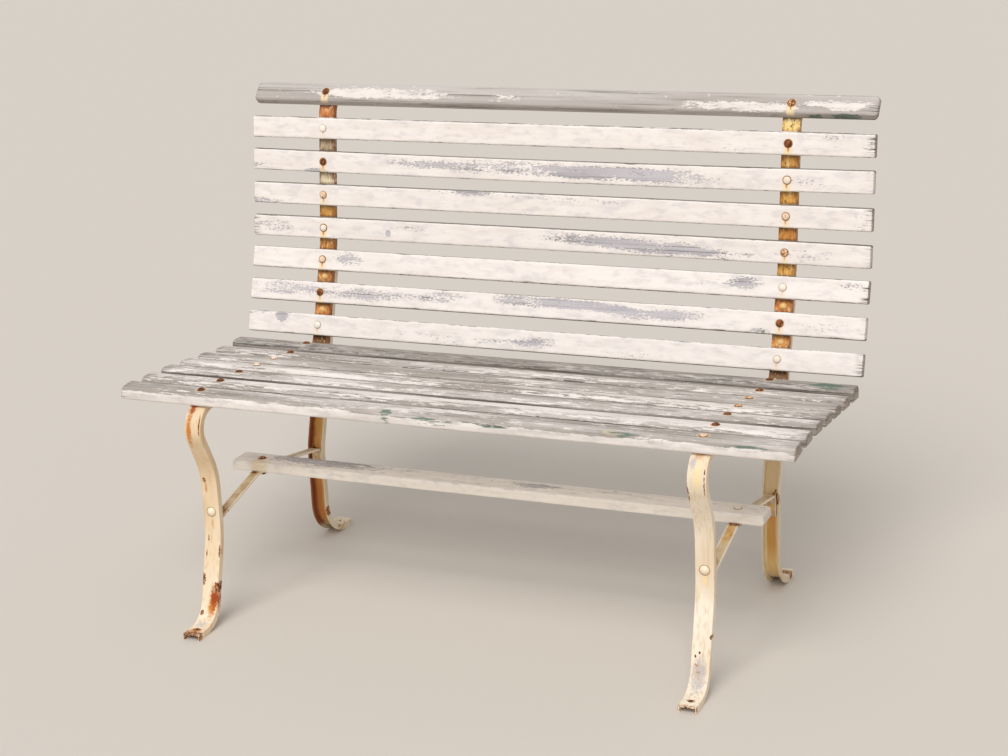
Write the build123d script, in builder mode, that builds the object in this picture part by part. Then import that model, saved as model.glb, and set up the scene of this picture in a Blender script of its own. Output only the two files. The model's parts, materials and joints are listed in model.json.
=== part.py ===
from build123d import *

import os
from math import cos, radians, sin, sqrt, tan

# Wagon seat bench: two bent iron channel frames carry wooden slats, a strap brace on each
# frame carries a stretcher board, and everything is bolted or riveted together.
#
# Millimetres. X runs along the bench, the front is -Y, Z is up and the feet stand on Z = 0.
# The side profile is laid out as (y, z) pairs, with y measured from the middle of the seat.

os.makedirs("parts", exist_ok=True)

# ---------------------------------------------------------------- driving dimensions

# Arrangement along the bench
slat_length = 1219.0  # 48 in
slat_overhang = 153.5  # past each frame's centre line

# Rolled iron channel, used for the side bars and the rear legs
channel_width = 32.0
flange_depth = 12.0
channel_wall = 3.0
channel_corner_radius = 1.2
drill_depth = 6.0  # through a web, even where it curves

# Side bar: foot, front leg and knee
front_leg_y = -191.0
front_toe_reach = 101.0  # ahead of the front leg
front_foot_radius = 45.0
front_splay = 15.2  # degrees, the shin runs forward towards the foot
front_splay_z = 165.0
front_splay_radius = 230.0
knee_start_z = 278.0
knee_start_radius = 120.0
knee_lean = 26.0  # degrees, the thigh runs forward towards the knee
knee_radius = 45.0

# Side bar: seat bearer
seat_bearer_z = 409.0
level_slats = 2  # the bearer starts to fall in the gap behind them
bearer_break_radius = 200.0
bearer_fall = 5.5  # degrees, down towards the back

# Side bar: back upright
back_corner_radius = 36.0
lower_lean = 17.5  # degrees from the vertical
raked_slats = 3  # the upright straightens in the gap above them
back_bend_radius = 80.0
upper_lean = 7.6
rail_bend_radius = 40.0
rail_lean = 40.0

# Rear leg
rear_leg_inset = 33.7  # ahead of the back corner
rear_toe_reach = 88.0  # behind the rear leg
rear_foot_radius = 65.0
rear_bend_radius = 110.0
splice_rivet_count = 2  # each side, one in every gap above the lowest back slat
splice_end = 14.0  # past the upper splice rivet

# Screw holes in the toes
toe_hole_diameter = 7.0
toe_hole_setback = 20.0

# Slats: pitch along the bar, width and thickness. The bar is bent to suit them.
slat_pitch = 63.5
seat_slat_count = 7
back_slat_count = 7
first_slat_setback = 3.0  # in front of the level part of the bearer
rear_slat_clearance = 0.5  # between the rear seat slat and the bend behind it
back_slat_clearance = 0.6  # between the lowest back slat and the bend under it
rail_bend_clearance = 7.0  # between the highest back slat and the bend over it
back_slat_width = 41.0
back_slat_thickness = 15.0
back_slat_edge = 2.5
rail_width = 41.0
rail_thickness = 18.0
rail_edge = 5.0
seat_slat_width = 41.0
seat_slat_thickness = 19.0
seat_slat_crown = 9.5
front_slat_width = 46.0
front_slat_thickness = 22.0
front_slat_crown = 13.0
rear_slat_thickness = 25.0
slat_foot_edge = 1.5
slat_end_edge = 1.0

# Strap brace and stretcher
strap_width = 19.0
strap_thickness = 4.0
strap_edge = 0.8
strap_bend_radius = 8.0
strap_seat_radius = 30.0
strap_front_z = 183.0
strap_front_tab = 41.0
strap_rear_z = 189.0
strap_rear_tab = 39.0
stretcher_y = -2.0
stretcher_z = 222.0  # underside
stretcher_width = 50.0
stretcher_thickness = 19.0
stretcher_overhang = 52.0  # past each frame's centre line
stretcher_edge = 2.0
strap_seat_margin = 7.0  # of level strap beyond each side of the stretcher

# Carriage bolts, washers and square nuts
bolt_diameter = 6.35
bolt_head_diameter = 14.0
bolt_head_height = 3.5
bolt_tail = 2.0
bolt_tip = 0.8
bolt_hole_clearance = 0.6
washer_diameter = 16.0
washer_thickness = 1.5
nut_width = 11.0
nut_thickness = 5.5
nut_corner = 1.0
thread_clearance = 0.1

# Rivets
rivet_diameter = 8.0
rivet_hole_clearance = 0.1
rivet_head_height = 4.0
splice_rivet_head = 13.0
front_rivet_head = 16.0
front_rivet_head_height = 4.5
rear_rivet_head = 13.0
rivet_seat_margin = 0.5  # between a head and the nearest bend

# ---------------------------------------------------------------- side profile, worked out


def lean_to(start, lean, z):
    """Point at height z on a line that leaves start at an angle from the vertical."""
    return (start[0] + (z - start[1]) * tan(radians(lean)), z)


def lean_along(start, lean, length):
    """Point at a distance along a line that leaves start at an angle from the vertical."""
    return (start[0] + length * sin(radians(lean)), start[1] + length * cos(radians(lean)))


def bend_tangent(radius, turn):
    """Length from a bend's corner point to where its arc starts."""
    return radius * tan(radians(turn / 2))


# Front leg
front_toe_y = front_leg_y - front_toe_reach
shin_top = (front_leg_y, front_splay_z)
shin_foot = lean_to(shin_top, front_splay, flange_depth)
thigh_foot = (front_leg_y, knee_start_z)
knee = lean_to(thigh_foot, -knee_lean, seat_bearer_z)

# Seat bearer, set out from its first level point: it breaks in a gap between two slats and
# turns up just behind the rear one
level_start_y = knee[0] + bend_tangent(knee_radius, 90 + knee_lean)
break_run = (level_slats - 0.5) * slat_pitch - first_slat_setback
bearer_break = (level_start_y + break_run, seat_bearer_z)
corner_bend = bend_tangent(back_corner_radius, 90 - lower_lean + bearer_fall)
rear_slat_run = (seat_slat_count - level_slats - 0.5) * slat_pitch + seat_slat_width / 2
bearer_run = rear_slat_run + rear_slat_clearance + corner_bend
back_corner = lean_along(bearer_break, 90 + bearer_fall, bearer_run)

# Upright: it straightens in a gap between two slats and curls back over the highest one
raked_run = (raked_slats - 0.5) * slat_pitch + back_slat_width / 2 + back_slat_clearance
back_bend = lean_along(back_corner, lower_lean, corner_bend + raked_run)
rail_turn = rail_lean - upper_lean
rail_bend_start = back_slat_width / 2 + rail_bend_clearance
rail_bend_length = bend_tangent(rail_bend_radius, rail_turn)
upper_run = (back_slat_count - raked_slats - 0.5) * slat_pitch + rail_bend_start
rail_bend = lean_along(back_bend, upper_lean, upper_run + rail_bend_length)
rail_arc = rail_bend_radius * radians(rail_turn)
rail_run = slat_pitch - rail_bend_start - rail_arc + rail_width / 2
rail_end = lean_along(rail_bend, rail_lean, rail_bend_length + rail_run)

bar_points = [
    (front_toe_y, flange_depth),
    shin_foot,
    shin_top,
    thigh_foot,
    knee,
    bearer_break,
    back_corner,
    back_bend,
    rail_bend,
    rail_end,
]
bar_radii = [
    front_foot_radius,
    front_splay_radius,
    knee_start_radius,
    knee_radius,
    bearer_break_radius,
    back_corner_radius,
    back_bend_radius,
    rail_bend_radius,
]

# The origin lies under the middle of the whole bench, from the front toe to the rearmost
# corner of the upright.
rear_reach = rail_end[0] + flange_depth * cos(radians(rail_lean))
middle_y = (front_toe_y + rear_reach) / 2
frame_x = slat_length / 2 - slat_overhang


def side_plane(x):
    """Plane across the bench at x. Its own x and y are the profile's y and z."""
    return Plane(origin=(x, -middle_y, 0), x_dir=(0, 1, 0), z_dir=(1, 0, 0))


# The outer face of the side bar's web, as a line that the slats are set out along
with BuildLine(side_plane(0)) as bar_layout:
    FilletPolyline(*bar_points, radius=bar_radii)
bar_line = bar_layout.wire()
bar_edges = bar_line.order_edges()
knee_edge_count = 8  # foot, bend, shin, bend, leg, bend, thigh, knee bend
corner_edge_count = 12  # and bearer, break, bearer, corner bend
level_start = sum(edge.length for edge in bar_edges[:knee_edge_count])
upright_start = sum(edge.length for edge in bar_edges[:corner_edge_count])

first_seat_slat = level_start - first_slat_setback
lowest_back_slat = upright_start + back_slat_width / 2 + back_slat_clearance
seat_distances = [first_seat_slat + i * slat_pitch for i in range(seat_slat_count)]
back_distances = [lowest_back_slat + i * slat_pitch for i in range(back_slat_count)]
rail_distance = lowest_back_slat + back_slat_count * slat_pitch
splice_distances = [lowest_back_slat + (i + 0.5) * slat_pitch for i in range(splice_rivet_count)]


def on_bar(distance, x=0):
    """Plane square to the bench's length, seated on the bar: its x follows the bar, its y
    points out of the web."""
    point = bar_line.position_at(distance, position_mode=PositionMode.LENGTH)
    along = bar_line.tangent_at(distance, position_mode=PositionMode.LENGTH)
    return Plane(origin=(x, point.Y, point.Z), x_dir=along, z_dir=(1, 0, 0))


def off_bar(distance, x, height=0):
    """Plane that lies on the bar's web, or a height above it, with its z out of the web."""
    seat = on_bar(distance, x)
    return Plane(origin=seat.origin + seat.y_dir * height, x_dir=(1, 0, 0), z_dir=seat.y_dir)


def rear_leg_at(height):
    """Outer (y, z) of the rear leg's web at a height on its leaning part."""
    stack = 2 * flange_depth / cos(radians(lower_lean))
    return lean_to((back_corner[0] + stack, back_corner[1]), lower_lean, height)


rear_leg_y = back_corner[0] - rear_leg_inset
rear_toe_y = rear_leg_y + rear_toe_reach
splice_top = on_bar(splice_distances[-1] + splice_end).origin.Z
rear_knee_z = back_corner[1] + (rear_leg_y - rear_leg_at(back_corner[1])[0]) / tan(
    radians(lower_lean)
)
rear_points = [
    rear_leg_at(splice_top - 2 * flange_depth * sin(radians(lower_lean))),
    (rear_leg_y, rear_knee_z),
    (rear_leg_y, flange_depth),
    (rear_toe_y, flange_depth),
]
rear_radii = [rear_bend_radius, rear_foot_radius]

# The strap's rivets sit on the straight of each leg, just clear of its bend
splay_end_z = front_splay_z + bend_tangent(front_splay_radius, front_splay)
front_rivet_z = splay_end_z + front_rivet_head / 2 + rivet_seat_margin
rear_bend_z = rear_knee_z - bend_tangent(rear_bend_radius, lower_lean)
rear_rivet_z = rear_bend_z - rear_rivet_head / 2 - rivet_seat_margin

bolt_hole = bolt_diameter + bolt_hole_clearance
rivet_hole = rivet_diameter + rivet_hole_clearance
sides = {"left": -frame_x, "right": frame_x}

# The strap's centre line: tab in the front leg, rise, level seat, fall, tab in the rear leg
strap_front_y = front_leg_y + channel_wall + strap_thickness / 2
strap_rear_y = rear_leg_y - channel_wall - strap_thickness / 2
strap_seat_z = stretcher_z - strap_thickness / 2
strap_seat_half = stretcher_width / 2 + strap_seat_margin
strap_points = [
    (strap_front_y, strap_front_z + strap_front_tab),
    (strap_front_y, strap_front_z),
    (stretcher_y - strap_seat_half, strap_seat_z),
    (stretcher_y + strap_seat_half, strap_seat_z),
    (strap_rear_y, strap_rear_z),
    (strap_rear_y, strap_rear_z - strap_rear_tab),
]
strap_radii = [strap_bend_radius, strap_seat_radius, strap_seat_radius, strap_bend_radius]

# ---------------------------------------------------------------- helpers


def save(builder, name):
    """Label a finished piece and write it as its own STEP file."""
    builder.part.label = name
    export_step(builder.part, f"parts/{name}.step")


def top_seat(x, y, z):
    """Plane at a place in the side profile, facing up."""
    return Plane(origin=(x, y - middle_y, z), x_dir=(1, 0, 0), z_dir=(0, 0, 1))


def front_seat(x, y, z):
    """Plane at a place in the side profile, facing the front."""
    return Plane(origin=(x, y - middle_y, z), x_dir=(1, 0, 0), z_dir=(0, -1, 0))


def bent_channel(x, points, radii):
    """Rolled channel swept along the outer face of its web, with the flanges to the line's
    right."""
    with BuildPart() as bar:
        with BuildLine(side_plane(x)) as path:
            FilletPolyline(*points, radius=radii)
        line = path.wire()
        with BuildSketch(Plane(origin=line @ 0, x_dir=(1, 0, 0), z_dir=line % 0)) as section:
            Rectangle(channel_width, flange_depth, align=(Align.CENTER, Align.MIN))
            fillet(section.vertices().group_by(Axis.Y)[0], channel_corner_radius)
            with Locations((0, channel_wall)):
                Rectangle(
                    channel_width - 2 * channel_wall,
                    flange_depth,
                    align=(Align.CENTER, Align.MIN),
                    mode=Mode.SUBTRACT,
                )
        sweep(path=line)
    return bar


def slat(distance, width, thickness, crown):
    """Board lying along the bench on both bars, its outer long edges rounded by crown."""
    with BuildPart() as board:
        with BuildSketch(on_bar(distance)) as section:
            Rectangle(width, thickness, align=(Align.CENTER, Align.MIN))
            fillet(section.vertices().group_by(Axis.Y)[-1], crown)
            fillet(section.vertices().group_by(Axis.Y)[0], slat_foot_edge)
        extrude(amount=slat_length / 2, both=True)
        ends = board.faces().group_by(Axis.X)
        chamfer([*ends[0].edges(), *ends[-1].edges()], slat_end_edge)
        for x in sides.values():
            with BuildSketch(off_bar(distance, x)):
                Circle(bolt_hole / 2)
        extrude(amount=thickness, mode=Mode.SUBTRACT)
    return board


def carriage_bolt(grip):
    """Round-headed bolt whose head stands on the XY plane, with its shank going down."""
    length = grip + washer_thickness + nut_thickness + bolt_tail
    shank, head = bolt_diameter / 2, bolt_head_diameter / 2
    with BuildPart() as bolt:
        with BuildSketch(Plane.XZ):
            with BuildLine():
                TangentArc((0, bolt_head_height), (head, 0), tangent=(1, 0))
                Polyline(
                    (head, 0),
                    (shank, 0),
                    (shank, bolt_tip - length),
                    (shank - bolt_tip, -length),
                    (0, -length),
                    (0, bolt_head_height),
                )
            make_face()
        revolve(axis=Axis.Z)
    return bolt


def washer():
    """Flat washer that hangs under the XY plane."""
    with BuildPart() as ring:
        Cylinder(
            washer_diameter / 2, washer_thickness, align=(Align.CENTER, Align.CENTER, Align.MAX)
        )
        Hole(bolt_hole / 2)
    return ring


def square_nut():
    """Square nut that hangs under the XY plane."""
    with BuildPart() as nut:
        Box(nut_width, nut_width, nut_thickness, align=(Align.CENTER, Align.CENTER, Align.MAX))
        chamfer(nut.edges().filter_by(Axis.Z), nut_corner)
        Hole(bolt_diameter / 2 + thread_clearance)
    return nut


def rivet(grip, head_diameter, head_height, tail_diameter):
    """Rivet with its head on the XY plane, and its shop head on the far side of the grip."""
    shank, head, tail = rivet_diameter / 2, head_diameter / 2, tail_diameter / 2
    tail_end = -grip - rivet_head_height
    with BuildPart() as pin:
        with BuildSketch(Plane.XZ):
            with BuildLine():
                TangentArc((0, head_height), (head, 0), tangent=(1, 0))
                Polyline((head, 0), (shank, 0), (shank, -grip), (tail, -grip))
                TangentArc((0, tail_end), (tail, -grip), tangent=(1, 0))
                Line((0, tail_end), (0, head_height))
            make_face()
        revolve(axis=Axis.Z)
    return pin


def repeat(single, planes):
    """One node of separate solids: the same piece at each plane."""
    with BuildPart() as group:
        with Locations(*planes):
            add(single.part)
    return group


# ---------------------------------------------------------------- frames

slat_distances = [*seat_distances, *back_distances, rail_distance]

for side, x in sides.items():
    side_bar = bent_channel(x, bar_points, bar_radii)
    with BuildPart() as drilled_bar:
        add(side_bar.part)
        for distance in slat_distances:
            with Locations(off_bar(distance, x)):
                Hole(bolt_hole / 2, depth=drill_depth)
        for distance in splice_distances:
            with Locations(off_bar(distance, x)):
                Hole(rivet_hole / 2, depth=drill_depth)
        with Locations(front_seat(x, front_leg_y, front_rivet_z)):
            Hole(rivet_hole / 2, depth=drill_depth)
        with Locations(top_seat(x, front_toe_y + toe_hole_setback, flange_depth)):
            Hole(toe_hole_diameter / 2, depth=drill_depth)
    save(drilled_bar, f"side_bar_{side}")

    rear_leg = bent_channel(x, rear_points, rear_radii)
    with BuildPart() as drilled_leg:
        add(rear_leg.part)
        for distance in splice_distances:
            with Locations(off_bar(distance, x, height=channel_wall - 2 * flange_depth)):
                Hole(rivet_hole / 2, depth=drill_depth)
        with Locations(front_seat(x, rear_leg_y - channel_wall, rear_rivet_z)):
            Hole(rivet_hole / 2, depth=drill_depth)
        with Locations(top_seat(x, rear_toe_y - toe_hole_setback, flange_depth)):
            Hole(toe_hole_diameter / 2, depth=drill_depth)
    save(drilled_leg, f"rear_leg_{side}")

    with BuildPart() as brace_strap:
        with BuildLine(side_plane(x)) as strap_path:
            FilletPolyline(*strap_points, radius=strap_radii)
        line = strap_path.wire()
        with BuildSketch(Plane(origin=line @ 0, x_dir=(1, 0, 0), z_dir=line % 0)):
            RectangleRounded(strap_width, strap_thickness, strap_edge)
        sweep(path=line)
        with Locations(front_seat(x, strap_front_y - strap_thickness / 2, front_rivet_z)):
            Hole(rivet_hole / 2, depth=drill_depth)
        with Locations(front_seat(x, strap_rear_y - strap_thickness / 2, rear_rivet_z)):
            Hole(rivet_hole / 2, depth=drill_depth)
        with Locations(top_seat(x, stretcher_y, stretcher_z)):
            Hole(bolt_hole / 2, depth=drill_depth)
    save(brace_strap, f"brace_strap_{side}")

# ---------------------------------------------------------------- stretcher and slats

with BuildPart() as stretcher:
    with BuildSketch(side_plane(0)) as section:
        with Locations((stretcher_y, stretcher_z)):
            Rectangle(stretcher_width, stretcher_thickness, align=(Align.CENTER, Align.MIN))
        fillet(section.vertices(), stretcher_edge)
    extrude(amount=frame_x + stretcher_overhang, both=True)
    ends = stretcher.faces().group_by(Axis.X)
    chamfer([*ends[0].edges(), *ends[-1].edges()], slat_end_edge)
    for x in sides.values():
        with Locations(top_seat(x, stretcher_y, stretcher_z + stretcher_thickness)):
            Hole(bolt_hole / 2, depth=stretcher_thickness)
save(stretcher, "stretcher")

seat_names = ["front", *[str(i) for i in range(2, seat_slat_count)], "rear"]
for name, distance in zip(seat_names, seat_distances):
    width, thickness, crown = seat_slat_width, seat_slat_thickness, seat_slat_crown
    if name == "front":
        width, thickness, crown = front_slat_width, front_slat_thickness, front_slat_crown
    if name == "rear":
        thickness = rear_slat_thickness
    save(slat(distance, width, thickness, crown), f"seat_slat_{name}")

for i, distance in enumerate(back_distances):
    board = slat(distance, back_slat_width, back_slat_thickness, back_slat_edge)
    save(board, f"back_slat_{back_slat_count + 1 - i}")
save(slat(rail_distance, rail_width, rail_thickness, rail_edge), "back_rail_top")

# ---------------------------------------------------------------- fasteners

# The front slat's washers are flat, so they bridge the hollow inside the knee bend
hollow_radius = knee_radius - channel_wall
knee_hollow = hollow_radius - sqrt(hollow_radius**2 - (washer_diameter / 2) ** 2)

# Each slat's distance along the bar, its thickness, and its washers' gap under the web
seat_rows = [(distance, seat_slat_thickness, 0) for distance in seat_distances]
seat_rows[0] = (seat_distances[0], front_slat_thickness, knee_hollow)
seat_rows[-1] = (seat_distances[-1], rear_slat_thickness, 0)
back_rows = [(distance, back_slat_thickness, 0) for distance in back_distances]
back_rows.append((rail_distance, rail_thickness, 0))


def slat_bolts(rows):
    """Both frames' bolts through a row of slats."""
    with BuildPart() as bolts:
        for distance, thickness, gap in rows:
            with Locations(*[off_bar(distance, x, thickness) for x in sides.values()]):
                add(carriage_bolt(thickness + channel_wall + gap).part)
    return bolts


def inside_bar(rows, depth):
    """Planes inside the bar, at a depth behind each slat's washer seat."""
    return [
        off_bar(distance, x, -channel_wall - gap - depth)
        for distance, thickness, gap in rows
        for x in sides.values()
    ]


for area, rows in {"seat": seat_rows, "back": back_rows}.items():
    save(slat_bolts(rows), f"{area}_bolts")
    save(repeat(washer(), inside_bar(rows, 0)), f"{area}_washers")
    save(repeat(square_nut(), inside_bar(rows, washer_thickness)), f"{area}_nuts")


def under_stretcher(z):
    """Planes on the stretcher's bolt axes at a height."""
    return [top_seat(x, stretcher_y, z) for x in sides.values()]


strap_underside = stretcher_z - strap_thickness
stretcher_bolt = carriage_bolt(stretcher_thickness + strap_thickness)
save(repeat(stretcher_bolt, under_stretcher(stretcher_z + stretcher_thickness)), "stretcher_bolts")
save(repeat(washer(), under_stretcher(strap_underside)), "stretcher_washers")
save(repeat(square_nut(), under_stretcher(strap_underside - washer_thickness)), "stretcher_nuts")

strap_grip = channel_wall + strap_thickness
front_rivet = rivet(strap_grip, front_rivet_head, front_rivet_head_height, splice_rivet_head)
front_seats = [front_seat(x, front_leg_y, front_rivet_z) for x in sides.values()]
save(repeat(front_rivet, front_seats), "brace_rivets_front")

rear_rivet = rivet(strap_grip, rear_rivet_head, rivet_head_height, rear_rivet_head)
rear_seats = [front_seat(x, rear_leg_y - strap_grip, rear_rivet_z) for x in sides.values()]
save(repeat(rear_rivet, rear_seats), "brace_rivets_rear")

splice_rivet = rivet(2 * flange_depth, splice_rivet_head, rivet_head_height, splice_rivet_head)
splice_seats = [off_bar(distance, x) for distance in splice_distances for x in sides.values()]
save(repeat(splice_rivet, splice_seats), "splice_rivets")

# ---------------------------------------------------------------- summary

for name, distances in (("seat", seat_distances), ("back", [*back_distances, rail_distance])):
    for distance in distances:
        spot = on_bar(distance).origin
        print(f"{name} slat seat: y {spot.Y + middle_y:7.1f}  z {spot.Z:6.1f}")
print(f"middle_y {middle_y:.3f}  rear_reach {rear_reach:.3f}  splice_top {splice_top:.1f}")
print(f"floor holes: y {front_toe_y + toe_hole_setback - middle_y:.3f} "
      f"and {rear_toe_y - toe_hole_setback - middle_y:.3f}, x +/-{frame_x:.1f}")
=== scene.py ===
# %% [markdown]
# # A weathered wagon seat bench
# Two bent iron frames carry painted boards that have stood outdoors for decades. The iron already has its
# real shape in the CAD frame, so here it only gets a finish. The boards and the bolts are made again,
# with worn corners and chips, because age has changed their shape as well as their colour.

# %% Load the frame
import json
import math

import bpy
import numpy as np
from mathutils import Matrix, Vector


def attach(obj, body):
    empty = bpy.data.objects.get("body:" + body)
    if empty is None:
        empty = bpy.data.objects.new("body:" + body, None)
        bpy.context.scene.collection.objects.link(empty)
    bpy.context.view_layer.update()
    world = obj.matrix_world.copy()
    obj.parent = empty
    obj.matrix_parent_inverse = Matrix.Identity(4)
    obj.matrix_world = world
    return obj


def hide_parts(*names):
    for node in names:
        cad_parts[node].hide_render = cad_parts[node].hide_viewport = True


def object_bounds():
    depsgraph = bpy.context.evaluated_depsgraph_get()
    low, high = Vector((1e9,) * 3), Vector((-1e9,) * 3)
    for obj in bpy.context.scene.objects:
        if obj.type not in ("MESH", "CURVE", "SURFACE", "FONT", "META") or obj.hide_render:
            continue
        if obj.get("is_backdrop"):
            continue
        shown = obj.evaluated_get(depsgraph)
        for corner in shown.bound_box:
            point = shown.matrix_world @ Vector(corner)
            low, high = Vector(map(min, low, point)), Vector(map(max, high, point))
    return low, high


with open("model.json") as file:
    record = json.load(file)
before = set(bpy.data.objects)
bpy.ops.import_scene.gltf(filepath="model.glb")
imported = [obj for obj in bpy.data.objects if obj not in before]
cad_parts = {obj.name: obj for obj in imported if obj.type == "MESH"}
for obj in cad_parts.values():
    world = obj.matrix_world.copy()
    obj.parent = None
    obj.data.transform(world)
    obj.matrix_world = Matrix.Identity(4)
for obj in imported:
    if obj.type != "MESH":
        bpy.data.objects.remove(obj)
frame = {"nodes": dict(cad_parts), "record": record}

cad = frame["nodes"]
cad_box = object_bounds()
slots = {part["node"]: part["material_slot"] for part in frame["record"]["subparts"]}
print("CAD pieces:", len(cad), "box:", [[round(v, 3) for v in corner] for corner in cad_box])

# %% [markdown]
# ## A short way to write nodes
# Every finish and every Geometry Nodes tree below is a graph. Written out in full, each node takes five
# or six lines. The small class here makes a node, feeds its inputs with plain values or with other nodes'
# outputs, and hands the result back, so that a graph reads like arithmetic. Shader and geometry graphs
# share their maths nodes.

# %% Node helper


class Graph:
    """Builds nodes in one tree. An input may be a plain value or another node's output."""

    def __init__(self, tree):
        self.tree = tree

    def feed(self, socket, value):
        if isinstance(value, bpy.types.NodeSocket):
            self.tree.links.new(value, socket)
        else:
            socket.default_value = value

    def node(self, kind, inputs=None, **settings):
        made = self.tree.nodes.new(kind)
        for name, value in settings.items():
            setattr(made, name, value)
        for name, value in (inputs or {}).items():
            self.feed(made.inputs[name], value)
        return made

    def result(self, kind, inputs=None, **settings):
        """The first output of a new node, which is all that most nodes are wanted for."""
        return self.node(kind, inputs, **settings).outputs[0]

    def maths(self, operation, a, b=0.0):
        return self.result("ShaderNodeMath", {0: a, 1: b}, operation=operation)

    def plus(self, a, b):
        return self.maths("ADD", a, b)

    def minus(self, a, b):
        return self.maths("SUBTRACT", a, b)

    def times(self, first, *others):
        for other in others:
            first = self.maths("MULTIPLY", first, other)
        return first

    def over(self, a, b):
        return self.maths("DIVIDE", a, b)

    def larger(self, first, *others):
        for other in others:
            first = self.maths("MAXIMUM", first, other)
        return first

    def unsigned(self, value):
        return self.maths("ABSOLUTE", value)

    def vector(self, operation, a, b=(0, 0, 0)):
        made = self.node("ShaderNodeVectorMath", {0: a, 1: b}, operation=operation)
        return made.outputs["Value" if operation == "LENGTH" else "Vector"]

    def split(self, value):
        """The x, y and z of a vector."""
        return tuple(self.node("ShaderNodeSeparateXYZ", {0: value}).outputs)

    def join(self, x, y, z):
        return self.result("ShaderNodeCombineXYZ", {0: x, 1: y, 2: z})

    def ramp(self, value, low, high, bottom=0.0, top=1.0):
        """Goes smoothly from bottom to top while value goes from low to high."""
        inputs = {"Value": value, "From Min": low, "From Max": high, "To Min": bottom, "To Max": top}
        return self.result("ShaderNodeMapRange", inputs, interpolation_type="SMOOTHSTEP")

    def noise(self, where, stretch, detail=4.0, roughness=0.5):
        """Cloudy noise around 0.5, with its own number of clouds per metre along each axis."""
        scaled = self.vector("MULTIPLY", where, stretch)
        inputs = {"Vector": scaled, "Scale": 1.0, "Detail": detail, "Roughness": roughness}
        return self.result("ShaderNodeTexNoise", inputs)

    def swing(self, noise, amount):
        """Noise moved to lie around 0, and made this strong."""
        return self.times(self.minus(noise, 0.5), amount)


print("node helper ready")

# %% [markdown]
# ## Where each board lies
# A board is bolted flat on the iron, at whatever angle the iron has there. Instead of writing sixteen
# angles down, the script asks the CAD pieces. The section of a board is longest across its width, so its
# principal axis gives the slope. The board then gets its own frame: x along it, y across it and z out of
# the iron.

# %% Read a board's place from its CAD piece


def points_of(mesh):
    return np.array([vertex.co for vertex in mesh.vertices])


def board_place(name):
    """Matrix that puts a board, made flat with its foot at z = 0, onto its seat. Also its three sizes."""
    points = points_of(cad[name].data)
    section = points[:, 1:]
    across = np.linalg.svd(section - section.mean(0), full_matrices=False)[2][0]
    faces_sitter = np.array((-1, 0) if name.startswith("back") else (0, 1))
    out = np.array((-across[1], across[0]))
    out *= np.sign(out @ faces_sitter)
    across = np.array((out[1], -out[0]))
    side, depth = section @ across, section @ out
    seat = across * (side.max() + side.min()) / 2 + out * depth.min()
    place = Matrix.Identity(4)
    for row in (0, 1):
        place[row + 1][1], place[row + 1][2], place[row + 1][3] = across[row], out[row], seat[row]
    return place, (float(np.ptp(points[:, 0])), float(np.ptp(side)), float(np.ptp(depth)))


board_names = sorted(name for name in cad
                     if name.startswith(("back_slat", "back_rail", "seat_slat")) or name == "stretcher")
places = {name: board_place(name) for name in board_names}
for name, (place, sizes) in places.items():
    slope = math.degrees(math.atan2(place[2][1], place[1][1]))
    print(name, "sizes in mm", [round(1000 * size, 1) for size in sizes], "slope %.1f" % slope)

right_bar = points_of(cad["side_bar_right"].data)[:, 0]
bar_x = round(float(right_bar.min() + right_bar.max()) / 2, 6)
print("the bars and their bolts stand at x = +/-", bar_x)

# %% [markdown]
# ## Trees that make pieces
# A Geometry Nodes tree is a recipe with named inputs, so one recipe serves every piece of its kind. It
# could stay on the object as a modifier, but the export drops instances, so each tree ends in real
# geometry with its material set, and its result is kept as a plain mesh.

# %% Start, close and run a Geometry Nodes tree


def new_tree(name, inputs):
    """An empty tree with named inputs, each given as (label, socket kind, usual value)."""
    tree = bpy.data.node_groups.new(name, "GeometryNodeTree")
    tree.interface.new_socket("Geometry", in_out="INPUT", socket_type="NodeSocketGeometry")
    for label, kind, usual in inputs:
        socket = tree.interface.new_socket(label, in_out="INPUT", socket_type="NodeSocket" + kind)
        if usual is not None:
            socket.default_value = usual
    tree.interface.new_socket("Geometry", in_out="OUTPUT", socket_type="NodeSocketGeometry")
    graph = Graph(tree)
    return graph, graph.node("NodeGroupInput").outputs


def close_tree(graph, geometry, material):
    """Every tree ends the same way: real geometry with its material set."""
    real = graph.result("GeometryNodeRealizeInstances", {"Geometry": geometry})
    painted = graph.result("GeometryNodeSetMaterial", {"Geometry": real, "Material": material})
    graph.node("NodeGroupOutput", {"Geometry": painted})
    return graph.tree


def in_scene(name, data):
    """A new object at the origin, linked to the scene."""
    made = bpy.data.objects.new(name, data)
    bpy.context.scene.collection.objects.link(made)
    return made


def run_tree(tree, name, values, start=None):
    """Evaluates a tree with these input values and returns the result as a plain mesh."""
    holder = in_scene(name, start or bpy.data.meshes.new(name))
    modifier = holder.modifiers.new("shape", "NODES")
    modifier.node_group = tree
    for item in tree.interface.items_tree:
        if item.in_out == "INPUT" and item.name in values:
            modifier[item.identifier] = values[item.name]
    scene_now = bpy.context.evaluated_depsgraph_get()
    made = bpy.data.meshes.new_from_object(
        holder.evaluated_get(scene_now), preserve_all_data_layers=True, depsgraph=scene_now)
    bpy.data.objects.remove(holder)
    made.name = name
    return made


print("tree helpers ready")

# %% [markdown]
# ## One worn board
# All the boards are the same thing at different sizes: a rounded rectangle drawn out along a line. They
# could be cubes with a bevel, but one tree makes them all, and a change to the wear then changes every
# board at once. A profile curve is swept along a line. Its rings crowd towards the ends, where the
# corners are rounded over, and noise then takes a little wood away along the edges. Apart from the slight
# warp of a few boards, everything moves inwards, so the bench never outgrows its real size.

# %% The worn board tree: a section swept along a line
ring_count, profile_points = 360, 52
end_crowding = 1.5

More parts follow.
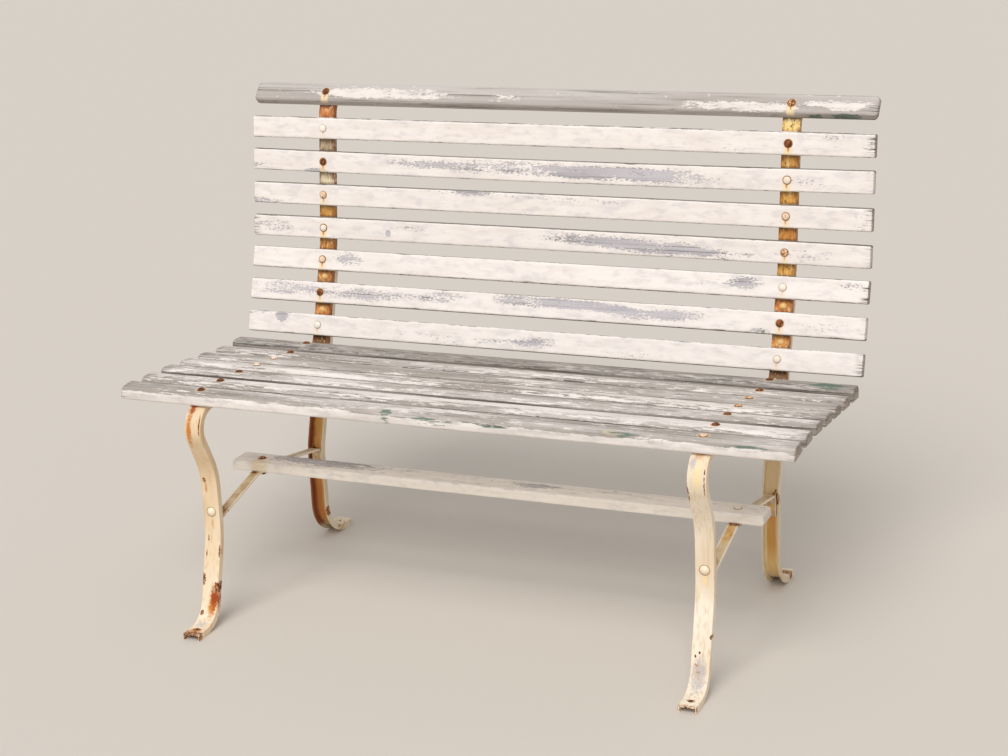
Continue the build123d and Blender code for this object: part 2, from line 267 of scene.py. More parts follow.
g, given = new_tree("worn_board", [
    ("Length", "Float", 1.219), ("Width", "Float", 0.041), ("Thickness", "Float", 0.015),
    ("Top radius", "Float", 0.0025), ("Foot radius", "Float", 0.0015), ("End radius", "Float", 0.002),
    ("Bow", "Float", 0.0), ("Wear", "Float", 1.0), ("Seed", "Float", 0.0), ("Material", "Material", None)])
half_length, half_width, half_thick = [g.over(given[size], 2.0) for size in ("Length", "Width", "Thickness")]
position = g.result("GeometryNodeInputPosition")
x, y, z = g.split(position)

# the section, with one radius at the top edges and another at the foot, which sweeping turns downwards
rectangle = g.result("GeometryNodeCurvePrimitiveQuadrilateral",
                     {"Width": given["Width"], "Height": given["Thickness"]})
at_foot = g.maths("GREATER_THAN", y, 0.0)
radius = g.result("GeometryNodeSwitch", {"Switch": at_foot, "False": given["Top radius"],
                                         "True": given["Foot radius"]}, input_type="FLOAT")
rounded = g.result("GeometryNodeFilletCurve", {"Curve": rectangle, "Radius": radius, "Count": 6}, mode="POLY")
section = g.result("GeometryNodeResampleCurve", {"Curve": rounded, "Count": profile_points})

# the line, with its rings crowded towards both ends
ends = [g.join(g.times(half_length, sign), 0.0, 0.0) for sign in (-1.0, 1.0)]
line = g.result("GeometryNodeCurvePrimitiveLine", {"Start": ends[0], "End": ends[1]})
line = g.result("GeometryNodeResampleCurve", {"Curve": line, "Count": ring_count})
even = g.minus(g.times(g.result("GeometryNodeInputIndex"), 2.0 / (ring_count - 1)), 1.0)
crowded = g.minus(1.0, g.maths("POWER", g.minus(1.0, g.unsigned(even)), end_crowding))
ring_x = g.times(g.maths("SIGN", even), crowded, half_length)
line = g.result("GeometryNodeSetPosition", {"Geometry": line, "Position": g.join(ring_x, 0.0, 0.0)})
swept = g.result("GeometryNodeCurveToMesh", {"Curve": line, "Profile Curve": section, "Fill Caps": True})
board = g.result("GeometryNodeTransform", {"Geometry": swept, "Translation": g.join(0.0, 0.0, half_thick)})
print("worn board:", ring_count, "rings of", profile_points, "points")

# %% [markdown]
# The same tree keeps three records on the surface before it is worn. "board" says where a point is on the
# board, from -1 to 1 along and across it and from 0 to 1 outwards. "local" is that place in metres, and
# "pattern" is the same moved on by the seed. Paint and grain follow these, so they stay with the board
# however it lies, and no two boards match.

# %% Records on the surface, then the wear
on_board = g.join(g.over(x, half_length), g.over(y, half_width), g.over(z, given["Thickness"]))
seed_steps = g.vector("MULTIPLY", g.join(*[given["Seed"]] * 3), (7.31, 3.17, 5.73))
moved_on = g.vector("ADD", position, seed_steps)
for label, value in (("board", on_board), ("pattern", moved_on), ("local", position)):
    board = g.result("GeometryNodeStoreNamedAttribute", {"Geometry": board, "Name": label, "Value": value},
                     data_type="FLOAT_VECTOR", domain="POINT")
record, pattern = [g.result("GeometryNodeInputNamedAttribute", {"Name": label}, data_type="FLOAT_VECTOR")
                   for label in ("board", "pattern")]

# ends rounded over: the section shrinks along a quarter circle in the last millimetres
from_end = g.maths("MINIMUM", g.minus(half_length, g.unsigned(x)), given["End radius"])
leg = g.minus(given["End radius"], from_end)
square = g.minus(g.times(given["End radius"], given["End radius"]), g.times(leg, leg))
cut = g.minus(given["End radius"], g.maths("SQRT", g.larger(square, 0.0)))
round_y = g.times(y, g.minus(1.0, g.over(cut, half_width)))
round_z = g.plus(g.times(g.minus(z, half_thick), g.minus(1.0, g.over(cut, half_thick))), half_thick)
board = g.result("GeometryNodeSetPosition", {"Geometry": board, "Position": g.join(x, round_y, round_z)})

# chips along the long edges, and a slow unevenness everywhere but on the foot
chip_depth, wave_depth = 0.0018, 0.0007
_, side, height = g.split(record)
near_edge = g.times(g.ramp(g.unsigned(side), 0.78, 0.97), g.ramp(height, 0.05, 0.35))
chips = g.ramp(g.noise(pattern, (26, 90, 90), 4.0, 0.6), 0.56, 0.74)
waves = g.noise(pattern, (4, 45, 45), 2.0)
depth = g.plus(g.times(chips, near_edge, chip_depth), g.times(waves, g.ramp(height, 0.1, 0.4), wave_depth))
inward = g.times(depth, given["Wear"], -1.0)
offset = g.vector("MULTIPLY", g.result("GeometryNodeInputNormal"), g.join(inward, inward, inward))
board = g.result("GeometryNodeSetPosition", {"Geometry": board, "Offset": offset})

# a warped board curves in its own plane, and its two bolts hold it at bar_x
past_bolt = g.minus(g.maths("POWER", g.over(x, bar_x), 2.0), 1.0)
warp = g.join(0.0, g.times(past_bolt, given["Bow"]), 0.0)
board = g.result("GeometryNodeSetPosition", {"Geometry": board, "Offset": warp})
board = g.result("GeometryNodeSetShadeSmooth", {"Geometry": board, "Shade Smooth": True})
board_tree = close_tree(g, board, given["Material"])
sample = run_tree(board_tree, "sample_board", {"Top radius": 0.006, "Wear": 0.0})
low, high = points_of(sample).min(0), points_of(sample).max(0)
print("sample board:", len(sample.vertices), "points, from", low.round(4), "to", high.round(4))

# %% [markdown]
# ## Where the paint has gone
# Old paint fails first where water stands: on the tops of the seat boards, along edges and at the ends.
# On top of that rule every board has accidents of its own. All of it is kept as numbers at each point of
# the mesh: "worn" from 0, sound paint, to 1, bare; "green", algae and old green paint; "ochre", rust
# water that has soaked in; "stain", how rusty the nearer bolt is; "split", how far the nearer end has
# cracked; and "edge", how dark the nearer long edge is, as bare wood and as painted shade in the gap
# between boards. The accidents could be painted on a picture, but short lists of soft ovals are quicker
# to change and need no file.

# %% Soft ovals and the general rules
seat_wear = {"seat_slat_front": 0.66, "seat_slat_2": 0.50, "seat_slat_3": 0.60, "seat_slat_4": 0.55,
             "seat_slat_5": 0.68, "seat_slat_6": 0.62, "seat_slat_rear": 1.12}


def ovals(local, half_width, patches):
    """Adds up soft ovals: (x, half its length, across, half its width, strength). Across goes from -1, the
    lower or front edge, to 1. A strength below 0 keeps paint that the general rule would take."""
    total = np.zeros(len(local))
    for x, reach, across, spread, strength in patches:
        away = ((local[:, 0] - x) / reach) ** 2 + ((local[:, 1] / half_width - across) / spread) ** 2
        total += strength * np.exp(-away ** 2)
    return total


def soft_step(value, low, high):
    t = np.clip((value - low) / (high - low), 0, 1)
    return t * t * (3 - 2 * t)


def general_wear(name, along, across, out, length):
    """Sound paint is 0 and bare wood 1, from the kind of board and the place on it."""
    ends = soft_step(np.abs(along), 1 - 0.05 / length, 1)
    if name.startswith("seat"):
        on_side = 0.16
        sat_on = soft_step(out, 0.42, 0.72)
        nose = soft_step(-across, 0.9, 1.0)
        return on_side + (seat_wear[name] - on_side) * sat_on + 0.12 * ends - 0.12 * nose
    if name == "back_rail_top":
        return 0.74 + 0.1 * ends + 0.12 * soft_step(-across, 0.75, 1)
    if name == "stretcher":
        return 0.03 + 0.28 * soft_step(out, 0.5, 0.9) * soft_step(across, -0.95, -0.7)
    return 0.13 + 0.1 * ends + 0.1 * soft_step(np.abs(across), 0.8, 1.0)


top_and_side = [general_wear("seat_slat_5", np.zeros(1), np.zeros(1), np.full(1, out), 1.219)[0]
                for out in (1.0, 0.3)]
print("wear on a seat board's top and side:", [round(float(wear), 2) for wear in top_and_side])

# %% [markdown]
# What makes one board differ from the next is written down board by board. Cream has come off in "lost",
# mostly where backs and legs rub, or has held on where the strength is below 0. "Grown" is green, in the
# damp along lower edges and at the ends. A few boards have also warped, and "bowed" says how far in
# metres.

# %% The accidents of each board
lost = {
    "back_rail_top": [
        (-0.42, 0.07, -0.1, 0.6, -0.28), (-0.32, 0.11, -0.1, 0.6, -0.36), (-0.21, 0.04, -0.3, 0.5, -0.1),
        (-0.09, 0.03, -0.2, 0.5, -0.2), (0.02, 0.02, 0.0, 0.4, -0.15), (0.1, 0.12, 0.0, 0.8, 0.15),
        (0.3, 0.06, -0.3, 0.5, -0.26), (0.4, 0.07, -0.5, 0.5, -0.45), (0.545, 0.06, -0.1, 0.6, -0.38)],
    "back_slat_2": [
        (0.36, 0.03, -0.5, 0.4, 0.28), (0.53, 0.04, 0.7, 0.4, 0.25), (0.595, 0.02, 0.0, 1.0, 0.25)],
    "back_slat_3": [
        (-0.47, 0.03, -0.85, 0.25, 0.6), (-0.59, 0.02, -0.7, 0.5, 0.3), (-0.26, 0.07, 0.2, 0.6, 0.34),
        (-0.05, 0.19, 0.1, 0.8, 0.4), (0.13, 0.12, -0.1, 0.7, 0.44), (0.25, 0.1, -0.1, 0.8, 0.32),
        (0.51, 0.05, -0.1, 0.5, 0.27)],
    "back_slat_4": [
        (-0.14, 0.1, 0.75, 0.3, 0.36), (0.07, 0.12, 0.55, 0.3, 0.34), (-0.58, 0.05, -0.7, 0.4, 0.3),
        (0.59, 0.02, 0.0, 1.2, 0.25)],
    "back_slat_5": [
        (-0.28, 0.05, 0.3, 0.4, 0.28), (-0.56, 0.07, -0.1, 0.7, 0.3), (-0.318, 0.006, -0.2, 0.35, 0.9),
        (0.08, 0.1, 0.3, 0.6, 0.44), (0.21, 0.12, -0.1, 0.7, 0.5), (0.34, 0.09, -0.5, 0.5, 0.34),
        (0.49, 0.06, -0.2, 0.6, 0.27)],
    "back_slat_6": [
        (-0.4, 0.035, 0.1, 0.7, 0.42), (0.39, 0.035, 0.2, 0.7, 0.38), (0.33, 0.05, 0.0, 0.5, 0.26),
        (0.58, 0.03, 0.4, 0.5, 0.35)],
    "back_slat_7": [
        (-0.53, 0.08, 0.2, 0.7, 0.46), (-0.36, 0.11, 0.1, 0.7, 0.44), (-0.2, 0.06, 0.2, 0.6, 0.42),
        (-0.02, 0.1, 0.4, 0.6, 0.42), (0.1, 0.09, 0.4, 0.5, 0.48), (0.19, 0.08, -0.1, 0.6, 0.46),
        (0.28, 0.06, 0.1, 0.7, 0.34), (0.42, 0.02, -0.7, 0.3, 0.4), (0.54, 0.06, 0.0, 0.6, 0.24)],
    "back_slat_8": [
        (-0.535, 0.014, 0.5, 0.5, 0.62), (-0.56, 0.05, 0.8, 0.3, 0.3), (-0.15, 0.18, -0.4, 0.5, 0.27),
        (0.18, 0.1, -0.5, 0.4, 0.28), (0.0, 0.06, 0.0, 0.5, 0.3), (0.6, 0.014, 0.3, 1.2, 0.15)],
    "stretcher": [(-0.33, 0.13, 0.3, 0.85, 0.36), (0.09, 0.05, 0.2, 0.6, 0.28)],
    "seat_slat_front": [
        (-0.05, 0.1, -0.85, 0.2, 0.2), (0.29, 0.05, -0.8, 0.3, 0.3), (-0.1, 0.22, 0.1, 0.55, -0.22),
        (-0.35, 0.3, -0.98, 0.14, -0.4), (0.4, 0.22, -0.98, 0.12, -0.3), (-0.55, 0.08, 0.2, 0.5, 0.15)],
    "seat_slat_2": [
        (0.0, 0.55, 0.2, 0.45, -0.24), (-0.01, 0.04, 0.8, 0.5, 0.3), (0.4, 0.25, 0.0, 0.8, -0.1),
        (-0.1, 0.6, -0.95, 0.22, 0.12)],
    "seat_slat_3": [
        (-0.28, 0.1, 0.0, 0.9, -0.3), (0.5, 0.14, 0.2, 0.8, -0.18), (-0.58, 0.06, 0.4, 0.7, -0.12),
        (0.1, 0.2, 0.4, 0.6, 0.1)],
    "seat_slat_4": [
        (-0.5, 0.14, -0.5, 0.4, -0.2), (0.22, 0.16, 0.2, 0.5, -0.2), (0.0, 0.1, -0.5, 0.35, 0.16),
        (0.42, 0.14, -0.4, 0.5, -0.16), (-0.3, 0.12, -0.8, 0.4, -0.15)],
    "seat_slat_5": [
        (0.06, 0.08, -0.4, 0.5, -0.26), (-0.57, 0.06, 0.6, 0.5, -0.25), (-0.05, 0.1, -0.95, 0.25, 0.2)],
    "seat_slat_6": [
        (-0.5, 0.1, -0.5, 0.4, -0.2), (0.05, 0.3, -0.5, 0.3, -0.24), (0.0, 0.5, 0.75, 0.4, 0.12)],
    "seat_slat_rear": [
        (0.27, 0.06, 0.3, 0.6, -0.34), (-0.5, 0.12, -0.3, 0.6, -0.12), (-0.3, 0.2, 0.2, 0.5, -0.1)],
}
grown = {
    "back_rail_top": [
        (0.555, 0.032, -1.0, 0.16, 0.9), (0.5, 0.016, -1.0, 0.14, 0.8), (-0.57, 0.03, -0.95, 0.2, 0.5)],
    "back_slat_3": [(-0.465, 0.02, -0.95, 0.15, 0.55), (0.425, 0.012, 0.95, 0.12, 0.7)],
    "back_slat_7": [(0.428, 0.016, -0.75, 0.35, 0.65)],
    "seat_slat_front": [
        (-0.09, 0.015, -0.75, 0.3, 0.9), (0.0, 0.06, -0.9, 0.12, 0.75), (0.325, 0.035, -0.75, 0.2, 0.8),
        (0.53, 0.05, -0.84, 0.14, 0.72), (0.1, 0.05, -0.9, 0.1, 0.65)],
    "seat_slat_3": [(-0.46, 0.03, 0.0, 0.5, 0.7)],
    "seat_slat_5": [(0.34, 0.03, -0.6, 0.3, 0.5)],
    "seat_slat_rear": [(0.56, 0.04, -0.3, 0.7, 1.0), (-0.57, 0.02, -0.6, 0.5, 0.6)],
}
bowed = {"back_slat_8": 0.0005, "back_slat_3": 0.0016, "seat_slat_rear": 0.0012, "back_slat_5": -0.0006}
print("accidents on", len(lost), "boards, green on", len(grown), "and", len(bowed), "warped")

# %% [markdown]
# Rust, cracks and dark edges, which are bare wood and painted shade between the boards, are written down
# more shortly, as pairs of numbers from 0 to 1. They are for the left and the right bolt, for the left and
# the right end, and for the upper and the lower long edge, which are the rear and the front one on the
# seat. The few places where rust water soaked in are ovals again.

# %% Rust from the bolts, cracked ends and bare edges
drips = {
    "back_rail_top": (0.8, 0.9), "back_slat_2": (0.25, 1.0), "back_slat_3": (0.8, 0.9),
    "back_slat_4": (0.6, 0.7), "back_slat_5": (1.0, 0.6), "back_slat_6": (0.8, 0.3),
    "back_slat_7": (0.6, 0.6), "back_slat_8": (0.3, 0.3), "stretcher": (0.9, 0.35),
}
split_ends = {
    "back_rail_top": (0.5, 0.7), "back_slat_2": (0.1, 1.0), "back_slat_3": (0.2, 0.3),
    "back_slat_4": (0.1, 0.9), "back_slat_5": (0.7, 0.5), "back_slat_6": (0.1, 1.0),
    "back_slat_7": (0.2, 0.3), "back_slat_8": (0.4, 0.8), "stretcher": (0.1, 0.1),
}
# how dark each long edge is: bare wood, and painted shade in the gap between boards
bare_and_shaded_edges = {
    "back_slat_2": (0.45, 0.2), "back_slat_3": (0.95, 0.2), "back_slat_4": (0.8, 0.35),
    "back_slat_5": (1.0, 0.2), "back_slat_6": (0.7, 0.3), "back_slat_7": (0.5, 0.75),
    "back_slat_8": (0.2, 1.0), "back_rail_top": (0.2, 0.06),
}
bare_and_shaded_edges.update({name: (0.6, 0.9) for name in seat_wear if name != "seat_slat_front"})
soaked = {
    "stretcher": [(-0.45, 0.024, -0.8, 0.9, 0.75)],
    "seat_slat_front": [(0.31, 0.022, -0.72, 0.2, 0.7)],
    "back_rail_top": [(-bar_x, 0.011, -0.5, 0.45, 0.7), (bar_x, 0.011, -0.5, 0.45, 0.7)],
}


def by_half(table, name, usual, side):
    """The first number of a board's pair where side is negative, and the second where it isn't."""
    first, second = table.get(name, usual)
    return np.where(side < 0, first, second)


def mark_board(mesh, name, sizes):
    """Writes the six numbers on a board that still lies flat in its own frame."""
    local = points_of(mesh)
    length, width, thickness = sizes
    along, across, out = local[:, 0] / (length / 2), local[:, 1] / (width / 2), local[:, 2] / thickness
    marks = {
        "worn": general_wear(name, along, across, out, length) + ovals(local, width / 2, lost.get(name, [])),
        "green": ovals(local, width / 2, grown.get(name, [])),
        "ochre": ovals(local, width / 2, soaked.get(name, [])),
        "stain": by_half(drips, name, (0.6, 0.6), along),
        "split": by_half(split_ends, name, (0.7, 0.8), along),
        "edge": by_half(bare_and_shaded_edges, name, (0.0, 0.0), -across)}
    for label, values in marks.items():
        layer = mesh.attributes.new(label, "FLOAT", "POINT")
        layer.data.foreach_set("value", np.clip(values, 0, 1).astype(np.float32))
    return marks


for label, values in mark_board(sample, "back_slat_5", (1.219, 0.041, 0.015)).items():
    print("a marked board:", label, "from %.2f to %.2f" % (values.min(), values.max()))

# %% [markdown]
# ## Paint on old wood
# The finish is built in the order of its real history: wood with dark grain that has silvered, a thin
# grey coat that soaked in, and a thick coat of cream on top. A flake edge isn't a blend of two colours.
# It is a hard line where noise crosses the wear, so the noise is compared with "worn" through a steep
# ramp. The noise is stretched along the board because paint lifts along the grain. The same masks drive
# the bump, which makes the flakes thick.

# %% Colours, and an empty finish


def shade(red, green, blue):
    """A colour as it is seen, from 0 to 255, as the linear colour that a shader wants."""
    return tuple(((v / 255 + 0.055) / 1.055) ** 2.4 if v > 10.3 else v / 3294.6
                 for v in (red, green, blue)) + (1.0,)


def blend(graph, mask, under, over):
    made = graph.node("ShaderNodeMix", {0: mask, 6: under, 7: over}, data_type="RGBA")
    return made.outputs[2]


def new_finish(name):
    """An empty material: its graph and its shader."""
    material = bpy.data.materials.new(name)
    material.use_nodes = True
    material.node_tree.nodes.clear()
    graph = Graph(material.node_tree)
    shader = graph.node("ShaderNodeBsdfPrincipled")
    graph.node("ShaderNodeOutputMaterial", {"Surface": shader.outputs[0]})
    return material, graph, shader


def add_relief(graph, shader, height, distance, strength):
    bump = graph.result("ShaderNodeBump", {"Height": height, "Distance": distance, "Strength": strength})
    graph.feed(shader.inputs["Normal"], bump)


old_wood = {"dark": shade(84, 76, 68), "silver": shade(150, 143, 135), "end": shade(158, 138, 120)}
print("cream paint in linear light:", [round(v, 3) for v in shade(236, 226, 214)])

# %% [markdown]
# A bolt rusts long before its board rots, and rain carries the rust onto the paint. On an upright board
# it runs down in a thin line, and on the seat it spreads round the head. It could be painted at
# thirty-two places by hand, but each place follows from its bolt's, so masks on the distance from the
# nearer bolt do for all of them.

# %% Rust from a bolt onto the board


def rust_from_bolt(g, local, noise, drip):
    """Masks for a dark ring round the head, a pale glow and, on an upright board, a thin brown drip. All
    distances are in metres from the bolt's middle, and its head is 7 mm in radius."""
    x, y, z = local
    beside = g.minus(g.unsigned(x), bar_x)
    wander = g.swing(noise, 0.005)
    away = g.vector("LENGTH", g.join(beside, y, 0.0))
    on_face = g.ramp(z, 0.008, 0.011)
    ring = g.times(g.ramp(away, 0.0074, 0.0088, 1.0, 0.0), on_face)
    if not drip:
        return ring, g.times(g.ramp(g.plus(away, wander), 0.008, 0.0145, 0.55, 0.0), on_face), 0.0
    aside = g.unsigned(g.plus(beside, wander))
    glow = g.times(g.ramp(aside, 0.0050, 0.0090, 0.9, 0.0), g.ramp(y, 0.009, 0.005), on_face)
    fall = g.times(g.ramp(aside, 0.0009, 0.0025, 1.0, 0.0), g.ramp(y, -0.017, -0.010))
    return ring, glow, g.times(fall, g.ramp(y, -0.004, -0.007), on_face)


print("bolt rust ready")

# %% [markdown]
# The coats differ from one kind of board to the next in their tones and in how much grain shows through,
# so one function makes the layers from those. A second one finds the wood that knocks and weather have
# laid bare, in dashes along the arrises, up the narrow sides and in cracks that start at both ends. Its
# dark lines along the arrises and up the narrow sides also paint the shade in the gaps between boards.

# %% Layers, and lines of bare wood


def coats_on_wood(g, noises, cream, thin, groove):
    """Bare wood, the thin coat with dark grain showing through it, and the cream on top."""
    wood = blend(g, g.ramp(noises["grain"], 0.38, 0.58), old_wood["dark"], old_wood["silver"])
    coat = blend(g, g.ramp(noises["broad"], 0.35, 0.65), *thin)
    coat = blend(g, g.ramp(noises["grain"], *groove, 0.0), coat, old_wood["dark"])
    paint = blend(g, g.ramp(noises["patches"], 0.35, 0.7), *cream)
    paint = blend(g, g.ramp(noises["clouds"], 0.47, 0.68, 0.0, 0.42), paint, thin[0])
    return wood, coat, paint


def bare_and_shaded_lines(g, where, place, mark, grain, side_top):
    """Wood bare along the arrises and up the narrow sides as far as side_top, and in cracks at the ends. The
    dark lines at the arrises and narrow sides also paint the shade between the boards.
    """
    x, y, z = place
    dashes = g.noise(where, (24, 60, 60), 5.0, 0.7)
    wander = g.swing(g.noise(where, (60, 160, 160), 4.0), 0.22)
    rim = g.unsigned(y)
    marked = g.ramp(mark["edge"], 0.02, 0.15)
    # dark dashes along the arrises: bare wood, and painted shade where the edge meets the gap
    arris = g.times(g.ramp(g.plus(rim, wander), 0.93, 0.97), g.ramp(rim, 1.0, 0.985),
                    g.ramp(dashes, 0.50, 0.60), g.ramp(marked, 0.0, 1.0, 0.25, 1.0))
    ragged = g.minus(dashes, g.times(mark["edge"], 0.35))
    # the narrow sides darkened up to side_top: bare wood, and painted shade in the gap between boards
    shaded_narrow_side = g.times(g.ramp(g.plus(rim, g.times(wander, 0.2)), 0.94, 0.97), g.ramp(ragged, 0.38, 0.32),
                          marked, g.ramp(g.plus(z, wander), side_top, side_top - 0.08))
    cracks = g.times(g.ramp(g.unsigned(x), 0.968, 0.998), g.ramp(grain, 0.47, 0.40), mark["split"])
    return g.larger(arris, shaded_narrow_side, cracks)


def speckled(g, mark, weight, speckle, low, high, strongest):
    """A mask for a stain that breaks up into specks towards the rim of its oval."""
    mask = g.ramp(g.plus(g.times(mark, weight), speckle), low, high, 0.0, strongest)
    return g.times(mask, g.ramp(mark, 0.02, 0.2))


print("layers ready")

# %% [markdown]
# The whole finish reads the records and marks of the mesh. "Fac" gives a number and "Vector" a place.
# Where cream has flaked off, the thin coat shows, and where that has gone too, wood. Stains lie on top of
# all three, and the sawn ends, which drink water, are wood again.

# %% The board finish


def board_finish(name, cream, thin, thin_share, flake, patch, grain_depth, drip, groove=(0.32, 0.50, 0.7),
                 side_top=1.3):
    """cream is the top coat, thin the one under it and thin_share how much of it is left where cream has
    gone. flake and patch are the flakes and the patches of flakes per metre, along, across and out. groove
    says which grain shows dark through the thin coat, and how strongly. The dark lines of the narrow sides,
    bare wood and painted shade between the boards, reach up to side_top, where 1 is the board's thickness."""
    material, g, shader = new_finish(name)
    where, place, local = [g.node("ShaderNodeAttribute", attribute_name=label).outputs["Vector"]
                           for label in ("pattern", "board", "local")]
    place = g.split(place)
    mark = {label: g.node("ShaderNodeAttribute", attribute_name=label).outputs["Fac"]
            for label in ("worn", "green", "ochre", "stain", "split", "edge")}
    noises = {"grain": g.noise(where, (4, 300, 300), 6.0, 0.62), "broad": g.noise(where, (3, 45, 45), 3.0),
              "fine": g.noise(where, (260, 520, 520), 4.0, 0.6), "patches": g.noise(where, patch, 4.0, 0.55),
              "clouds": g.noise(where, (34, 80, 80), 5.0, 0.62), "flakes": g.noise(where, flake, 7.0, 0.72)}
    grain, flakes = noises["grain"], noises["flakes"]
    wood, coat, paint = coats_on_wood(g, noises, cream, thin, groove)

    # cream comes off where the noise and the wear push hardest, and the thin coat where the grain helps
    pressure = g.swing(mark["worn"], 0.42)
    lift = g.plus(g.plus(g.times(flakes, 0.7), g.times(noises["patches"], 0.3)), pressure)
    paint_gone = g.ramp(lift, 0.500, 0.528)
    wood_from = 0.50 + 0.25 * thin_share
    coat_gone = g.ramp(g.plus(lift, g.swing(grain, 0.55)), wood_from, wood_from + 0.06)
    # bare wood, with the painted shade of the dark edge lines between boards
    bare = g.larger(bare_and_shaded_lines(g, where, place, mark, grain, side_top), coat_gone)
    colour = blend(g, bare, blend(g, paint_gone, paint, coat), wood)

    speckle = g.swing(flakes, 1.8)
    soaked_in = speckled(g, mark["ochre"], 1.0, speckle, 0.3, 0.9, 0.7)
    green_patch = speckled(g, mark["green"], 0.8, speckle, 0.45, 0.62, 0.85)
    ring, glow, fall = rust_from_bolt(g, g.split(local), noises["patches"], drip)
    for mask, stain in ((soaked_in, shade(224, 200, 156)), (green_patch, shade(88, 108, 94)),
                        (g.times(glow, mark["stain"]), shade(240, 216, 172)),
                        (g.times(fall, mark["stain"]), shade(196, 122, 54)),
                        (g.times(ring, mark["stain"]), shade(150, 88, 42))):
        colour = blend(g, mask, colour, stain)
    end_share = g.plus(0.2, g.times(mark["split"], 0.65))
    end_wood = blend(g, g.ramp(grain, 0.36, 0.6), old_wood["dark"], old_wood["end"])
    on_end = g.ramp(g.unsigned(place[0]), 0.9955, 0.9978)
    g.feed(shader.inputs["Base Color"], blend(g, g.times(on_end, end_share), colour, end_wood))
    g.feed(shader.inputs["Roughness"], g.ramp(paint_gone, 0.0, 1.0, 0.55, 0.86))

    height = g.minus(g.times(grain, grain_depth), g.times(paint_gone, 0.5))
    height = g.plus(g.minus(height, g.times(bare, 0.4)), g.times(noises["fine"], 0.2))
    add_relief(g, shader, height, 0.0007, 0.7)
    return material


finishes = {
    "back_slat_paint": board_finish(
        "back_slat_paint", (shade(240, 231, 224), shade(231, 221, 213)),
        (shade(197, 191, 194), shade(180, 175, 179)), thin_share=0.9, flake=(170, 360, 360),
        patch=(16, 75, 75), grain_depth=0.5, drip=True),
    "rail_wood": board_finish(
        "rail_wood", (shade(226, 217, 210), shade(214, 204, 197)),
        (shade(192, 184, 179), shade(174, 165, 158)), thin_share=1.1, flake=(80, 260, 260),
        patch=(14, 75, 75), grain_depth=0.6, drip=True),
    # the seat's dark side lines reach to 0.69 of its thickness, painting the shade between its boards
    "seat_slat_wood": board_finish(
        "seat_slat_wood", (shade(232, 223, 216), shade(212, 203, 196)),
        (shade(193, 185, 178), shade(161, 151, 142)), thin_share=0.68, flake=(34, 270, 270),
        patch=(8, 80, 80), grain_depth=0.9, drip=False, groove=(0.34, 0.46, 0.95), side_top=0.69),
    "stretcher_paint": board_finish(
        "stretcher_paint", (shade(246, 237, 226), shade(238, 228, 215)),
        (shade(202, 195, 192), shade(186, 179, 178)), thin_share=0.95, flake=(60, 260, 260),
        patch=(10, 75, 75), grain_depth=0.5, drip=False),
}
print("board finishes:", sorted(finishes))

# %% [markdown]
# ## Lay the boards on the iron
# Each board comes out of the tree lying flat, gets its marks, and is then turned onto its seat by moving
# its mesh. Its object stays at the origin, unturned, because the frame and the export both expect that.
# The seat boards have the roundest edges, the front one above all, since legs wear them away, and the
# rail has the roundest ends, where hands hold it.

# %% Make the boards
top_radius = {name: 0.0105 if name.startswith("seat") else 0.003 for name in places}
top_radius.update({"back_rail_top": 0.0065, "stretcher": 0.0025, "seat_slat_front": 0.014})
end_radius = {name: 0.0035 for name in places}
end_radius.update({"back_rail_top": 0.009, "stretcher": 0.006})

triangles = 0
for number, (name, (place, sizes)) in enumerate(places.items()):
    values = dict(zip(("Length", "Width", "Thickness"), sizes), Seed=float(number + 1),
                  Material=finishes[slots[name]], Bow=bowed.get(name, 0.0))
    values.update({"Top radius": top_radius[name], "End radius": end_radius[name]})
    mesh = run_tree(board_tree, "worn_" + name, values)
    mark_board(mesh, name, sizes)
    mesh.transform(place)
    mesh.update()
    piece = in_scene("worn_" + name, mesh)
    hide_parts(name)
    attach(piece, "root")
    triangles += 2 * len(mesh.polygons)
print(len(places), "boards, about", triangles, "triangles")

# %% [markdown]
# ## Carriage bolts
# A carriage bolt has a low round head and a plain shank. There are thirty-two, all one shape, at places
# that follow the boards, so they are instances on points. A lathe-like shape is easiest as a ball: its
# lower half is pressed flat to close the head, and a second, thin body is the shank. Each bolt also
# carries two numbers: "coat", how much paint is left on it, and "rise", the height on its head, so that
# rust can start at the rim.

# %% The bolt tree
g, given = new_tree("carriage_bolt", [
    ("Head radius", "Float", 0.007), ("Head height", "Float", 0.0035), ("Shank radius", "Float", 0.003175),
    ("Seed", "Int", 1), ("Material", "Material", None)])
position = g.result("GeometryNodeInputPosition")
x, y, z = g.split(position)
ball = g.result("GeometryNodeMeshUVSphere", {"Segments": 28, "Rings": 18, "Radius": 1.0})
dome = g.join(g.times(x, given["Head radius"]), g.times(y, given["Head radius"]),
              g.times(g.larger(z, 0.0), given["Head height"]))
head = g.result("GeometryNodeSetPosition", {"Geometry": ball, "Position": dome})

# the shank is made one metre long and gets its length from the point it stands on
rod = g.result("GeometryNodeMeshCylinder", {"Vertices": 16, "Side Segments": 8, "Radius": 1.0, "Depth": 1.0})
around = g.times(given["Shank radius"], g.ramp(z, -0.5, -0.46, 0.75, 1.0))
hanging = g.join(g.times(x, around), g.times(y, around), g.minus(z, 0.5))
rod = g.result("GeometryNodeSetPosition", {"Geometry": rod, "Position": hanging})

